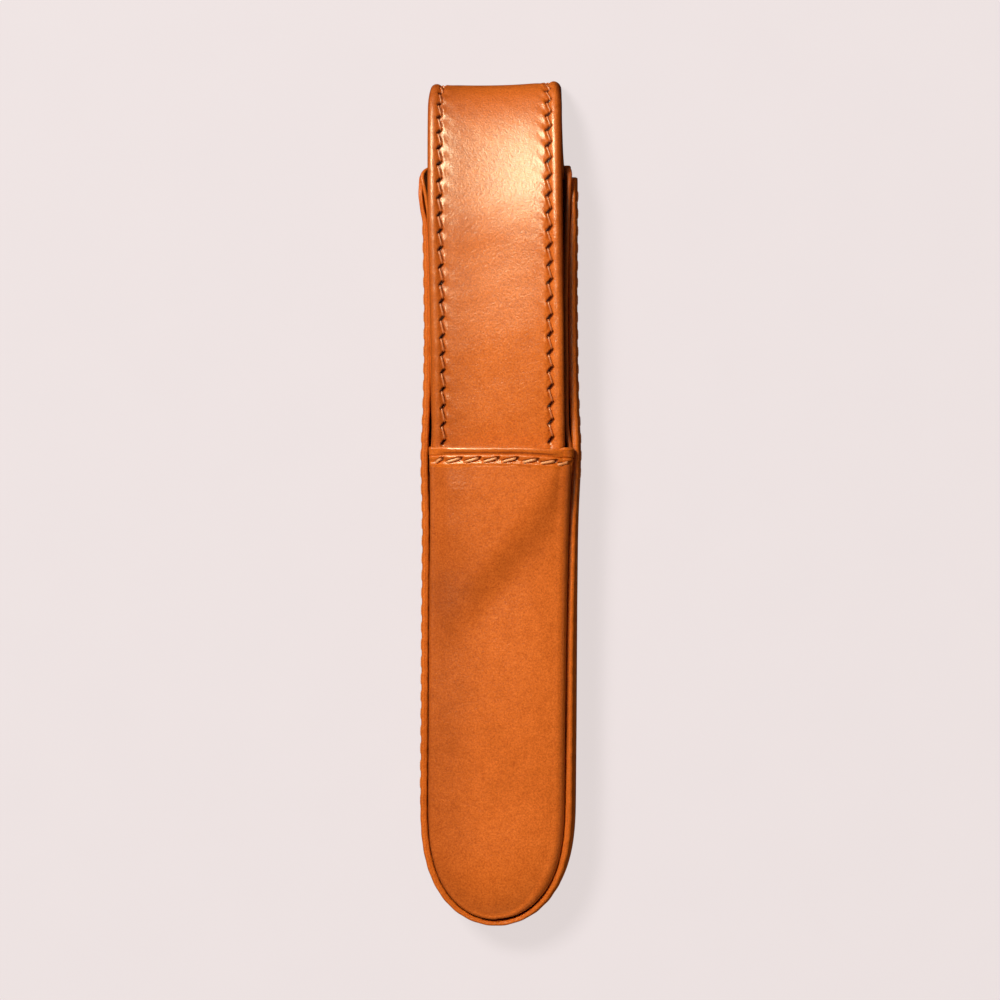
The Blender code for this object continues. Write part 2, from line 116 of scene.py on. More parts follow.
def loft(rings, tones=None, flip=False, zipper=True):
    """Closed rings (n, m, 3) joined into a tube with both ends closed. With zipper, point j is
    paired with point m-1-j across the thickness. Returns verts, faces, tones."""
    rings = np.asarray(rings, float)
    n, m = rings.shape[:2]
    verts = rings.reshape(-1, 3)
    faces = []
    for i in range(n - 1):
        for j in range(m):
            k = (j + 1) % m
            f = (i * m + j, i * m + k, (i + 1) * m + k, (i + 1) * m + j)
            faces.append(f[::-1] if flip else f)
    for i, turn in ((0, not flip), (n - 1, flip)):
        if zipper:
            for j in range(m // 2 - 1):
                f = [i * m + j, i * m + j + 1, i * m + m - 2 - j, i * m + m - 1 - j]
                faces.append(tuple(f[::-1]) if turn else tuple(f))
        else:
            f = list(range(i * m, (i + 1) * m))
            faces.append(tuple(f[::-1]) if turn else tuple(f))
    return verts, faces, (np.ones(len(verts)) if tones is None else np.asarray(tones).reshape(-1))


def merge(parts):
    verts, faces, tones, base = [], [], [], 0
    for v, f, t in parts:
        verts.append(v)
        faces += [tuple(i + base for i in face) for face in f]
        tones.append(t)
        base += len(v)
    return np.concatenate(verts), faces, np.concatenate(tones)


def volume(verts, faces):
    total = 0.0
    v = np.asarray(verts)
    for f in faces:
        for a in range(1, len(f) - 1):
            total += np.dot(v[f[0]], np.cross(v[f[a]], v[f[a + 1]]))
    return total


def face_out(verts, faces, tones):
    if volume(verts, faces) < 0:
        faces = [f[::-1] for f in faces]
    return verts, faces, tones


# ---------------------------------------------------------------- outline of the case
DRIFT_Y = np.array([-90.0, -84.0, -70.0, -45.0, -20.0, 12.0, 35.0, 62.0, 70.0])
DRIFT_X = np.array([-0.62, -0.6, -0.42, -0.2, -0.05, 0.28, 0.22, 0.05, 0.05])


def drift(y):
    """The hand-made case wanders a little off its middle line."""
    return np.interp(y, DRIFT_Y, DRIFT_X)


def straight_half(y):
    return BODY_HALF + SWELL * gauss(y, 9.0, 9.0) - WAIST * gauss(y, 38.0, 16.0)


def outline(top_y, step_straight, arc_count, ends=None):
    """Stations from the left open end round the toe to the right open end: points, inward
    normals and distance along."""
    start = TOE_Y + TOE_LENGTH
    if ends is None:
        count = int(round((top_y - start) / step_straight))
        ys = np.linspace(top_y, start, count + 1)
    else:
        ys = np.asarray(ends)
    left = [(-straight_half(y), y) for y in ys]
    half = straight_half(start)
    # even steps of arc length round the toe
    fine = np.linspace(0, math.pi / 2, 800)
    cx = -half * np.cos(fine)
    cy = start - TOE_LENGTH * np.sin(fine) ** (2.0 / TOE_POWER)
    along = np.concatenate([[0], np.cumsum(np.hypot(np.diff(cx), np.diff(cy)))])
    for a in np.linspace(0, along[-1], arc_count + 1)[1:]:
        left.append((np.interp(a, along, cx), np.interp(a, along, cy)))
    pts = left + [(-x, y) for x, y in reversed(left[:-1])]
    p = np.array(pts)
    p[:, 0] += drift(p[:, 1])
    t = np.gradient(p, axis=0)
    # even tangents at uneven spacing
    seg = np.linalg.norm(np.diff(p, axis=0), axis=1)
    s = np.concatenate([[0], np.cumsum(seg)])
    t = np.stack([np.gradient(p[:, 0], s), np.gradient(p[:, 1], s)], 1)
    t /= np.linalg.norm(t, axis=1, keepdims=True)
    n = np.stack([-t[:, 1], t[:, 0]], 1)  # left of travel: inward
    return p, n, s


EDGE_RUN = 5.0


def plan_point(p, n, d, f):
    """d: distance inwards from the outline (up to EDGE_RUN); f: then the share of the way on to
    the spine."""
    base = p + n * (EDGE_RUN if f > 0 else d)
    if f <= 0:
        return base
    spine = np.array([drift(max(p[1], SPINE_END_Y)), max(p[1], SPINE_END_Y)])
    return base + (spine - base) * f


def toe_share(y):
    return np.clip((TOE_Y + TOE_LENGTH - y) / TOE_LENGTH, 0.0, 1.0)


# ---------------------------------------------------------------- the strap's path
def strap_path():
    pts, marks = [], {}
    for k in range(24):
        pts.append((56.0 + (FOLD_END_Y - CORNER_R - 56.0) * k / 24, 0.0))
    cy, cz = FOLD_END_Y - CORNER_R, CORNER_R
    for k in range(24):
        a = -math.pi / 2 + math.pi / 2 * k / 24
        if k == 12:
            marks["corner"] = len(pts)
        pts.append((cy + CORNER_R * math.cos(a), cz + CORNER_R * math.sin(a)))
    ey = FOLD_END_Y - FOLD_DEPTH
    for k in range(90):
        a = math.radians(k)
        if k == 16:
            marks["lower"] = len(pts)
        if k == 52:
            marks["upper"] = len(pts)
        pts.append((ey + FOLD_DEPTH * math.cos(a), cz + (FLAP_Z - cz) * math.sin(a)))
    run = ey - MOUTH_Y
    for k in range(80):
        y = ey - run * k / 80
        pts.append((y, FLAP_Z - (FLAP_Z - FLAP_MOUTH_Z) * ((ey - y) / run) ** 2.2))
    marks["mouth"] = len(pts)
    for k in range(41):
        y = MOUTH_Y - (MOUTH_Y - TIP_Y) * k / 40
        pts.append((y, FLAP_MOUTH_Z - 1.1 * (1 - math.exp(-(MOUTH_Y - y) / 10.0))))
    p = np.array(pts)
    along = np.concatenate([[0.0], np.cumsum(np.linalg.norm(np.diff(p, axis=0), axis=1))])
    return p, along, {k: along[i] for k, i in marks.items()}


PATH, ALONG, AT = strap_path()
TIP = ALONG[-1]
# a smooth resampling, so that the surface shows no facets of the path
FINE_S = np.linspace(0, TIP, 1400)
_y = np.interp(FINE_S, ALONG, PATH[:, 0])
_z = np.interp(FINE_S, ALONG, PATH[:, 1])
_k = np.exp(-((np.arange(-14, 15) / 7.0) ** 2))
_k /= _k.sum()


def _smooth_line(v):
    pad = np.concatenate([v[0] - (v[1:15] - v[0])[::-1], v, v[-1] + (v[-1] - v[-15:-1])[::-1]])
    return np.convolve(pad, _k, "valid")


FINE_Y, FINE_Z = _smooth_line(_y), _smooth_line(_z)
_ty, _tz = np.gradient(FINE_Y, FINE_S), np.gradient(FINE_Z, FINE_S)
_len = np.hypot(_ty, _tz)
FINE_NY, FINE_NZ = _tz / _len, -_ty / _len


def strap_frame(s):
    return (
        np.interp(s, FINE_S, FINE_Y),
        np.interp(s, FINE_S, FINE_Z),
        np.interp(s, FINE_S, FINE_NY),
        np.interp(s, FINE_S, FINE_NZ),
    )


def s_of_y(y):
    """Distance along the strap of a point on its front, from its y."""
    mask = FINE_S > AT["lower"]
    return float(np.interp(-y, -FINE_Y[mask], FINE_S[mask]))


NECK_S = 65.05 - 56.0


def strap_half(s):
    half = 13.05 + 0.36 * sm((s - 32.0) / 8.0) - 0.18 * sm((s - 62.0) / 30.0)
    half = half - 0.15 * (1 - sm((s - 14.0) / 12.0))
    # fillets where the strap leaves the back
    half = half + 1.5 * np.exp(-np.clip(s - NECK_S, 0, None) / 0.9)
    mouth = AT["mouth"]
    half = half - 1.05 * sm((s - mouth - 0.1) / 3.0) - 0.9 * sm((s - mouth - 4.0) / 14.0)
    corner = 5.5
    left = np.clip(TIP - s, 0, None)
    cut = np.where(left < corner, corner - np.sqrt(np.clip(corner**2 - (corner - left) ** 2, 0, None)), 0)
    return half - cut


CENTRE_S = np.array([0.0, 9.0, 16.0, 23.0, 33.0, 41.0, 51.0, 62.0, 76.0, 96.0, 112.0, 140.0])
CENTRE_X = np.array([-0.22, -0.26, -0.62, -0.96, -1.12, -0.90, -0.68, -0.52, -0.22, 0.0, 0.05, 0.05])
_fine = np.linspace(0, 140, 281)
_cx = np.convolve(np.pad(np.interp(_fine, CENTRE_S, CENTRE_X), 6, "edge"), np.ones(13) / 13, "valid")


def strap_centre(s):
    return np.interp(s, _fine, _cx)


def dish(s):
    """How far the strap's middle lies under its edges: bent leather lifts its edges."""
    d = 0.62 * sm((s - 24.0) / 6.0) + 0.42 * sm((s - 42.0) / 14.0)
    return d - 1.04 * sm((s - 70.0) / 24.0) - 0.42 * sm((s - 92.0) / 18.0)


HOLE_DIR = np.array([0.62, 0.785])
S_LAST = AT["mouth"] - 1.1
HOLES = np.array([S_LAST - k * PITCH for k in range(60) if S_LAST - k * PITCH > NECK_S + 1.0])


def stitch_e(side):
    """The stitch line's distance from the strap's edge."""
    return np.where(side < 0, 2.38, 2.68)


def hole_shift(hole_s, side):
    return 0.09 * hash_wave(hole_s * 5.1, 9.0 + side)


def thread_ends(hole_s, side):
    """Ends of the stitch that runs from this hole's upper slit to it: (s, x) of each, from the
    slit's lower left end to the next slit's upper right end."""
    reach = 0.50 if side < 0 else 0.62
    top_s, low_s = hole_s - PITCH, hole_s
    lean = 0.80
    xa = side * (float(strap_half(top_s)) - float(stitch_e(side))) - reach * 0.62
    xb = side * (float(strap_half(low_s)) - float(stitch_e(side))) + reach * 0.62
    sa = top_s + reach * lean + float(hole_shift(top_s, side))
    sb = low_s - reach * lean + float(hole_shift(low_s, side))
    return (sa, xa), (sb, xb)


def strap_surface(s, x, top=True):
    """Points on the strap's outer face: s along it, x across from its middle (arrays).
    Returns points (.., 3) and tone."""
    half = strap_half(s)
    e = half - np.abs(x)
    share = np.clip(np.abs(x) / half, 0, 1)
    side = np.where(x < 0, -1.0, 1.0)
    e0 = stitch_e(side)
    # turned edge, ridge, stitch valley, field
    high = 1 - sm((s - 74.0) / 14.0)
    r = 1.2 + 0.45 * high * (x > 0)
    edge = np.where(e < r, r - np.sqrt(np.clip(r * r - (r - e) ** 2, 0, None)), 0.0)
    fade = sm((AT["mouth"] + 2.0 - s) / 3.0)
    wob = 1 + 0.30 * hash_wave(s * 0.8, 3.0 + side)
    valley = 0.38 * gauss(e, e0, 0.55) * (0.85 + 0.15 * wob) * fade
    inner = sm((e - e0 + 0.1) / 0.9)
    valley = valley + 0.10 * inner * (1 - sm((e - e0 - 0.9) / 2.6)) * fade
    phase = (s - S_LAST) / PITCH
    # leather pulled in at each hole, with short wrinkles running on into the field
    slant = (e - e0) * 0.16 * side
    pull = np.cos(2 * math.pi * (phase + slant))
    strong = np.where(side > 0, 1.25, 0.9)
    pucker = strong * wob * fade * (
        0.095 * gauss(e, e0 + 0.62, 0.50) * pull
        + 0.026 * gauss(e, e0 + 1.5, 0.8) * np.cos(2 * math.pi * (phase + slant * 1.5) + 0.4)
    )
    pucker = pucker + 0.03 * fade * gauss(e, 1.3, 0.45) * np.cos(2 * math.pi * phase)
    # painted shade along the stitch valley; the strap's outermost half millimetre is darker as well
    tone = 1.0 - 0.06 * gauss(e, e0, 0.5) * fade - 0.12 * np.clip(1 - e / 0.5, 0, 1)
    depth = edge + valley + pucker + dish(s) * (1 - share**2)
    # slits under the stitches, all slanting the same way
    k = np.round((S_LAST - s) / PITCH)
    for step in (-1.0, 0.0, 1.0):
        hole_s = S_LAST - (k + step) * PITCH
        on = (hole_s > NECK_S + 1.0) & (hole_s <= S_LAST + 0.01)
        dy = -(s - hole_s - hole_shift(hole_s, side))
        dx = x - side * (half - e0)
        along = dx * HOLE_DIR[0] + dy * HOLE_DIR[1]
        across = dx * HOLE_DIR[1] - dy * HOLE_DIR[0]
        reach = np.where(side < 0, 0.52, 0.70)
        wide = np.where(side < 0, 0.23, 0.27)
        slit = gauss(across, 0, 1.0 * wide) * (1 - sm((np.abs(along) - reach) / 0.34)) * on
        depth = depth + 0.70 * slit
        # the slits are painted near black: painted shade in the holes
        tone = tone - 0.90 * np.clip(slit * 1.5, 0, 1)
        # the furrow that the thread lies in, with a painted shadow on its right
        ax, ay = dx + 0.0, dy
        t_dir = np.array([0.33, -0.944])
        cx = -0.62 * reach - 0.03
        cy = -0.80 * reach - 0.1
        ta = (dx - cx) * t_dir[0] + (dy - cy) * t_dir[1]
        tc = (dx - cx) * (-t_dir[1]) + (dy - cy) * t_dir[0]
        run = sm((ta + 0.1) / 0.3) * (1 - sm((ta - 2.15) / 0.35)) * on * (hole_s < S_LAST - 1.0)
        depth = depth + 0.16 * gauss(tc, 0.05, 0.30) * run
        tone = tone - 0.46 * gauss(tc, 0.26, 0.11) * run
    # the field's own gentle unevenness
    depth = depth + 0.045 * hash_wave(s * 0.55 + x * 0.21, 1.0) * sm((e - 3.0) / 3.0)
    y, z, ny, nz = strap_frame(s)
    skew = 0.022 * x * sm((s - 15.0) / 12.0)
    pts = np.stack([strap_centre(s) + x, y + skew - ny * depth, z - nz * depth], -1)
    # painted shade: darker towards the left side
    tone = tone - 0.17 * sm((-x - 0.5) / 10.0)
    # painted shade: the right edge is darker, most of all up to the fold
    tone = tone - (0.12 + 0.30 * high) * (1 - sm((e - 0.55) / 0.75)) * (x > 0)
    return pts, np.clip(tone, 0.02, 1.0)


def strap_offset(s, x, depth):
    """A point under (or, negative, over) the strap's outer face."""
    y, z, ny, nz = strap_frame(s)
    skew = 0.022 * x * sm((s - 15.0) / 12.0)
    return np.stack([strap_centre(s) + x, y + skew - ny * depth, z - nz * depth], -1)


def columns():
    """Signed places across the strap: distance in from each edge, then shares of the middle."""
    fine = 0.12
    e = [0.0, 0.03, 0.10, 0.22, 0.38, 0.58, 0.82, 1.08]
    e += list(np.arange(1.3, 3.75, fine))
    e += [3.9, 4.15, 4.5, 4.9, 5.4]
    return np.array(e), np.linspace(0, 1, 12)[1:-1]


def strap_leather(s0, s1, step):
    edge_e, mid = columns()
    ss = np.linspace(s0, s1, max(3, int(round((s1 - s0) / step)) + 1))
    rings, tones = [], []
    for s in ss:
        half = float(strap_half(s))
        left = -half + edge_e
        right = -left[::-1]
        middle = left[-1] + (right[0] - left[-1]) * mid
        x = np.concatenate([left, middle, right])
        top, tone = strap_surface(np.full(len(x), s), x)
        # underside: turned under, with a rounded edge of its own
        low_e = np.clip(edge_e, 0, None)
        x_low = x[::-1]
        e_low = half - np.abs(x_low)
        lift = np.where(e_low < 0.6, 0.6 - np.sqrt(np.clip(0.36 - (0.6 - e_low) ** 2, 0, None)), 0)
        low = strap_offset(np.full(len(x), s), x_low, 1.88 - lift + dish(s) * (1 - np.clip(np.abs(x_low) / half, 0, 1) ** 2) * 0.9)
        rings.append(np.concatenate([top, low]))
        # the turned-under side is painted darker: painted shade
        tones.append(np.concatenate([tone, np.full(len(x), 0.8)]))
    return face_out(*loft(rings, tones))


def strap_lining(s0, s1, step, inset=0.9):
    ss = np.linspace(s0, s1, max(3, int(round((s1 - s0) / step)) + 1))
    rings = []
    for s in ss:
        half = float(strap_half(s)) - inset
        x = np.linspace(-half, half, 26)
        d = dish(s) * (1 - (np.abs(x) / (half + inset)) ** 2) * 0.9
        e = half - np.abs(x)
        lift = np.where(e < 0.25, 0.25 - np.sqrt(np.clip(0.0625 - (0.25 - e) ** 2, 0, None)), 0)
        wave = 0.03 * hash_wave(s * 1.1 + x * 0.7, 5.0)
        top = strap_offset(np.full(26, s), x, 1.84 + d)
        low = strap_offset(np.full(26, s), x[::-1], (2.38 + d + wave - lift)[::-1])
        rings.append(np.concatenate([top, low]))
    return face_out(*loft(rings))


# ---------------------------------------------------------------- thread
def stitch(a, b, out, radius, arch, twist=0.0, sides=8, steps=12, sink=0.35, seed=0.0):
    """One stitch: a plied thread from a to b, arched away from the leather along out, its ends
    diving in. Two plies show as a helical groove."""
    a, b, out = np.array(a, float), np.array(b, float), np.array(out, float)
    axis = b - a
    length = np.linalg.norm(axis)
    t = axis / length
    side = np.cross(t, out)
    side /= np.linalg.norm(side)
    up = np.cross(side, t)
    u = np.linspace(0, 1, steps + 1)
    lift = arch * (1 - (2 * u - 1) ** 4) - sink * (np.abs(2 * u - 1) ** 6)
    width = radius * (0.80 + 0.20 * (1 - (2 * u - 1) ** 4))
    rings = []
    for i in range(steps + 1):
        c = a + axis * u[i] + out * lift[i]
        ang = np.linspace(0, 2 * math.pi, sides, endpoint=False)
        groove = 1 - 0.16 * np.cos(2 * (ang - u[i] * math.pi * length / (radius * 5.0) - seed)) ** 8
        rings.append(c + width[i] * groove[:, None] * (np.cos(ang)[:, None] * side + 0.9 * np.sin(ang)[:, None] * up))
    v, f, t_ = loft(rings, zipper=False)
    return face_out(v, f, t_)


def strap_stitches(s0, s1):
    parts = []
    for hole_s in HOLES:
        mid = hole_s - PITCH / 2
        if not (s0 <= mid < s1) or mid < NECK_S + 1.5:
            continue
        for side in (-1, 1):
            (sa, xa), (sb, xb) = thread_ends(hole_s, side)
            sink = 0.36
            pa = strap_offset(np.array(sa), np.array(xa), sink + float(dish(sa)) * 0.34)
            pb = strap_offset(np.array(sb), np.array(xb), sink + float(dish(sb)) * 0.34)
            _, _, ny, nz = strap_frame(mid)
            parts.append(stitch(pa, pb, (0, ny, nz), 0.19, 0.15, sink=0.34, seed=float(hole_s)))
    return merge(parts) if parts else None


# ---------------------------------------------------------------- tray
def rim_z(y):
    z = RIM_Z - 1.6 * toe_share(y) ** 2
    u = np.clip((y - (RIM_TOP_Y - 5.0)) / 5.0, 0, 1)
    return z - 6.0 * (1 - np.sqrt(np.clip(1 - u**2, 0, 1)))


def tray_end(x, y, z):
    """How the tray's walls spread and round off at the open top."""
    left = x < 0
    high = float(sm((z - 2.0) / 8.0))
    if left:
        flare = 0.72 * float(sm((y - 55.0) / 6.5)) * (0.35 + 0.65 * high)
        u = float(np.clip((y - (RIM_TOP_Y - 1.5)) / 1.5, 0, 1))
        x = x - flare + 0.62 * (1 - math.sqrt(max(0.0, 1 - u * u * 0.96))) * high
        y = y + 0.75 * float(sm((y - 59.0) / 6.0)) * high
    else:
        u = float(np.clip((y - (RIM_TOP_Y - 1.3)) / 1.3, 0, 1))
        x = x - 0.18 * float(sm((y - 54.0) / 8.0)) * high - 0.62 * (1 - math.sqrt(max(0.0, 1 - u * u * 0.96))) * high
    return x, y, z


def tray_ring(p, n, a):
    y = p[1]
    zr = float(rim_z(y))
    top = float(sm((y - 50.0) / 10.0))
    across = abs(float(n[0]))
    right = max(0.0, -float(n[0]))
    if n[0] < 0:
        zr += 0.45 * across * float(sm((6.0 - y) / 10.0)) - 0.6 * across * float(sm((y - 10.0) / 8.0))
    bead = 0.54 + (0.24 if n[0] < 0 else 0.18) * across**3 - (0.14 + 0.16 * across**3) * top
    wall = 1.1 - 0.15 * top
    zs = float(rim_z(y)) - 4.0
    wave = math.cos(2 * math.pi * a / SEAM_PITCH)
    pts = []
    # outside, from the spine to the wall
    for f in (1.0, 0.75, 0.5, 0.25):
        pts.append((EDGE_RUN, f, 0.0))
    pts.append((EDGE_RUN, 0.0, 0.0))
    r = 3.5
    for k in range(7):
        ang = math.pi / 2 * k / 6
        pts.append((r - r * math.sin(ang), 0.0, r - r * math.cos(ang)))
    low, high = r, zr - 1.5
    for t in (0.25, 0.45, 0.55, 0.63, 0.70, 0.76, 0.83, 0.9, 0.96):
        z = low + (high - low) * t
        pinch = 0.20 * math.exp(-(((z - zs) / 0.9) ** 2)) * (0.75 + 0.25 * wave)
        swell = -0.10 * math.exp(-(((z - (zs + 1.9)) / 0.9) ** 2)) * (0.6 - 0.4 * wave)
        pts.append((pinch + swell, 0.0, z))
    c = bead - 0.05 + (0.06 + 0.32 * right * float(sm((4.0 - y) / 40.0))) * across * (1 - top) + 0.03 * wave
    for k in range(15):
        ang = math.pi * (1 - k / 14)
        # the line between the two layers of leather that meet in the rim
        split = 0.10 * math.exp(-(((ang - 1.45) / 0.17) ** 2))
        rr = bead - split
        pts.append((c + rr * math.cos(ang), 0.0, zr - bead + rr * math.sin(ang)))
    outer = len(pts)
    # inside, back to the spine, with as many points
    wall = max(wall, c + bead - 0.25)
    inner = [(wall + 0.08, 0.0, zr - 1.9)]
    for t in (0.8, 0.6, 0.4, 0.2, 0.0):
        inner.append((wall, 0.0, r + (zr - 2.4 - r) * t))
    ri = r - 1.1
    for k in range(1, 7):
        ang = math.pi / 2 * (1 - k / 6)
        inner.append((r - ri * math.sin(ang) if k < 6 else r, 0.0, r - ri * math.cos(ang)))
    inner.append((EDGE_RUN, 0.0, 1.1))
    for f in (0.25, 0.5, 0.75, 1.0):
        inner.append((EDGE_RUN, f, 1.1))
    # the inside faces are painted darker: painted shade
    tone = [1.0] * outer + [0.62] * len(inner)
    # painted shade in the pinch of the side seam
    for k in range(outer - 15):
        z = pts[k][2]
        if k > 12:
            tone[k] -= 0.12 * math.exp(-(((z - zs) / 0.6) ** 2)) * (0.5 + 0.5 * wave)
    # round the bead: a dark line where its two layers meet, and painted shade on its inner flank by the groove and,
    # less, on its outer flank
    for k in range(outer - 15, outer):
        ang = math.pi * (1 - (k - outer + 15) / 14)
        tone[k] -= 0.22 * math.exp(-(((ang - 1.45) / 0.15) ** 2))
        tone[k] -= 0.35 * (1 - sm(ang / 0.7))
        tone[k] -= 0.10 * float(sm((ang - 2.3) / 0.8))
    ring = []
    for d, f, z in pts + inner:
        q = plan_point(p, n, d, f)
        if f == 0 and d < EDGE_RUN - 0.1 and y > 50:
            ring.append(tray_end(q[0], q[1], z))
        else:
            ring.append((q[0], q[1], z))
    return ring, tone


def open_sweep(rings, tones):
    """Sections that are open curves from spine to spine: columns joined, then the two ends
    closed across the thickness, and the spines welded later."""
    rings = np.asarray(rings, float)
    n, m = rings.shape[:2]
    faces = []
    for i in range(n - 1):
        for j in range(m - 1):
            faces.append((i * m + j, i * m + j + 1, (i + 1) * m + j + 1, (i + 1) * m + j))
    return rings.reshape(-1, 3), faces, np.asarray(tones).reshape(-1)


def weld(obj, dist=0.00002):
    import bmesh

    bm = bmesh.new()
    bm.from_mesh(obj.data)
    bmesh.ops.remove_doubles(bm, verts=bm.verts, dist=dist)
    bmesh.ops.dissolve_degenerate(bm, edges=bm.edges, dist=dist / 4)
    # close what is open at the top end
    loose = [e for e in bm.edges if e.is_boundary]
    if loose:
        bmesh.ops.holes_fill(bm, edges=loose, sides=0)
    bmesh.ops.recalc_face_normals(bm, faces=bm.faces)
    bm.to_mesh(obj.data)
    bm.free()
    obj.data.shade_smooth()
    obj.data.set_sharp_from_angle(angle=math.radians(50))


def make_tray(mat):
    p, n, s = outline(RIM_TOP_Y, 0.43, 100)
    s = s - s[len(s) // 2]
    rings, tones = [], []
    for i in range(len(p)):
        ring, tone = tray_ring(p[i], n[i], s[i])
        rings.append(ring)
        tones.append(tone)
    v, f, t = open_sweep(rings, tones)
    obj = make_object("back_shell_leather", v, f, mat, t)
    weld(obj)
    return obj


def make_side_stitches(mat):
    p, n, s = outline(RIM_TOP_Y, 0.43, 100)
    s = s - s[len(s) // 2]
    parts = []
    count = int((s[-1] - 2.5) // SEAM_PITCH)
    for k in range(-count, count + 1):
        mid = k * SEAM_PITCH + SEAM_PITCH / 2
        if abs(mid) > s[-1] - 3.2:
            continue
        pa, pb = [], []
        for a, dz, keep in ((mid - 1.5, -0.22, pa), (mid + 1.5, 0.22, pb)):
            q = np.array([np.interp(a, s, p[:, 0]), np.interp(a, s, p[:, 1])])
            nn = np.array([np.interp(a, s, n[:, 0]), np.interp(a, s, n[:, 1])])
            z = float(rim_z(q[1])) - 4.0 + dz * (1 if mid < 0 else -1)
            keep.extend([q[0] - nn[0] * -0.05, q[1] - nn[1] * -0.05, z])
        nn = np.array([np.interp(mid, s, n[:, 0]), np.interp(mid, s, n[:, 1])])
        q = np.array([np.interp(mid, s, p[:, 0]), np.interp(mid, s, p[:, 1])])
        proud = 1.0 - 0.8 * float(sm((-56.0 - q[1]) / 10.0))
        if q[0] > 0:
            proud = min(proud, 0.15 + 0.85 * float(sm((q[1] + 6.0) / 16.0)))
        shift = (1 - proud) * 0.22
        pa = [pa[0] + nn[0] * shift, pa[1] + nn[1] * shift, pa[2]]
        pb = [pb[0] + nn[0] * shift, pb[1] + nn[1] * shift, pb[2]]
        parts.append(stitch(pa, pb, (-nn[0], -nn[1], 0), 0.24, 0.08 + 0.12 * proud, sink=0.3, seed=k * 0.7))
    return make_object("side_seam_stitches", *[x for x in (merge(parts)[0], merge(parts)[1])], mat)


# ---------------------------------------------------------------- front shell
def hood_inset(n, y):
    if n[0] >= 0:
        base = np.interp(y, [-40, -15, 0, 6], [1.72, 1.68, 1.86, 2.0])
    else:
        base = np.interp(y, [-45, -27, -15, 0, 11], [1.88, 1.76, 1.6, 1.42, 1.36])
    return float(base) - 0.45 * abs(n[1]) ** 1.2


def hood_roll(nx):
    """The edge's radius: crisp on the left and round the toe, softer on the right."""
    return 0.75 + 1.45 * float(sm((-nx - 0.15) / 0.8))


def crown_top(y):
    return 17.9 + 0.35 * gauss(y, 6.0, 16.0) - 0.8 * sm((-40.0 - y) / 28.0)


def edge_drop(y):
    return 1.25 + 3.0 * toe_share(y) ** 2


def relief(x, y):
    """What the tongue inside and the years outside do to the front panel."""
    # raised over the tongue, ending along a line that runs down to the left
    dist = (x - 5.2) * 0.777 - (y + 7.3) * 0.63
    bulge = 1 - sm((dist + 3.8) / 7.6)
    r = 1.30 * bulge * (1 - 0.55 * sm((-x - 2.0) / 9.0) * sm((-4.0 - y) / 10.0))
    r = r * (1 - 0.75 * sm((-20.0 - y) / 22.0))
    r = r - 0.22 * gauss(x, -1.5, 7.0) * gauss(y, -17.0, 4.5)
    r = r + 0.20 * gauss(x, -8.0, 2.6) * gauss(y, 2.6, 2.4)
    r = r + 0.10 * gauss(x, 4.0, 6.0) * gauss(y, -38.0, 12.0)
    r = r + 0.035 * hash_wave(x * 0.5 + y * 0.23, 2.0)
    # short creases over the tongue's left shoulder
    r = r + 0.030 * np.sin(y * 5.6 + 0.9 * np.sin(x * 1.1)) * gauss(x, -8.0, 2.2) * gauss(y, 2.8, 2.6)
    return r


def painted_bulge_foot_shade(x, y):
    """Painted shade along the foot of the bulge, where it slopes away from the light."""
    line = np.interp(x, [-14, -9, -3, 2, 7, 10, 13], [-19.5, -19, -16.5, -12.5, -7.5, -2.5, 3.5])
    away = (y - line) / (6.0 if y < line else 5.5)
    return 0.13 * math.exp(-(away**2)) * float(sm((x + 16.0) / 5.0))


def hood_profile(p, n, thick):
    """Half a section of the front shell from its middle to the foot of its wall, sunk by
    thick. Returns points and tones."""
    y = p[1]
    radius = hood_roll(n[0])
    q0 = p + n * hood_inset(n, y)
    spine = np.array([drift(max(y, SPINE_END_Y)), max(y, SPINE_END_Y)])
    run = np.linalg.norm(spine - q0)
    top = float(crown_top(max(y, SPINE_END_Y)))
    drop = float(edge_drop(y)) + 0.45 * max(0.0, -float(n[0]))
    reach = 4.2

    def place(d, f):
        if f > 0:
            base = q0 + n * reach
            return base + (spine - base) * f
        return q0 + n * d

    def z_of(q):
        away = np.linalg.norm(q - q0)
        share = np.clip(1 - away / run, 0, 1)
        z = top - drop * share**2.6
        r = float(relief(q[0], q[1])) * (0.25 + 0.75 * float(sm(away / 4.0)))
        return z + r - 0.5 * float(sm((y - 7.55) / 0.6)) * (1 if thick == 0 else 0)

    pts, tone = [], []
    inner_r = max(radius - thick, 0.2)
    for f in (1.0, 0.88, 0.76, 0.64, 0.52, 0.40, 0.28, 0.16, 0.06):
        q = place(0, f)
        pts.append((q[0], q[1], z_of(q) - thick))
        tone.append(1.0)
    lo = thick + inner_r
    for d in np.linspace(reach, lo, 8)[:-1]:
        q = place(d, 0)
        pts.append((q[0], q[1], z_of(q) - thick))
        tone.append(1.0)
    q = place(lo, 0)
    z_edge = z_of(q) - thick
    # painted shade: the rounded edge darkens as it turns down, and the wall below is darker still
    for k in range(0, 8):
        ang = math.pi / 2 * k / 7
        q = place(thick + inner_r * (1 - math.sin(ang)), 0)
        pts.append((q[0], q[1], z_edge - inner_r * (1 - math.cos(ang))))
        tone.append(1.0 - 0.15 * k / 7)
    z_wall = z_edge - inner_r
    for t in (0.9, 0.75, 0.6, 0.45, 0.3, 0.15, 0.05, 0.0):
        q = place(thick + (0.0 if t > 0 else 0.1), 0)
        pts.append((q[0], q[1], WALL_LOW_Z + (z_wall - WALL_LOW_Z) * t))
        tone.append(0.72)
    if thick == 0:
        # painted shade: darker towards the left, and along the foot of the bulge
        tone = [
            t - 0.19 * float(sm((-x + drift(yy) - 0.5) / 11.0)) - painted_bulge_foot_shade(x, yy)
            for t, (x, yy, _) in zip(tone, pts)
        ]
    else:
        # the inner face is painted darker: painted shade
        tone = [0.6] * len(tone)
    return pts, tone


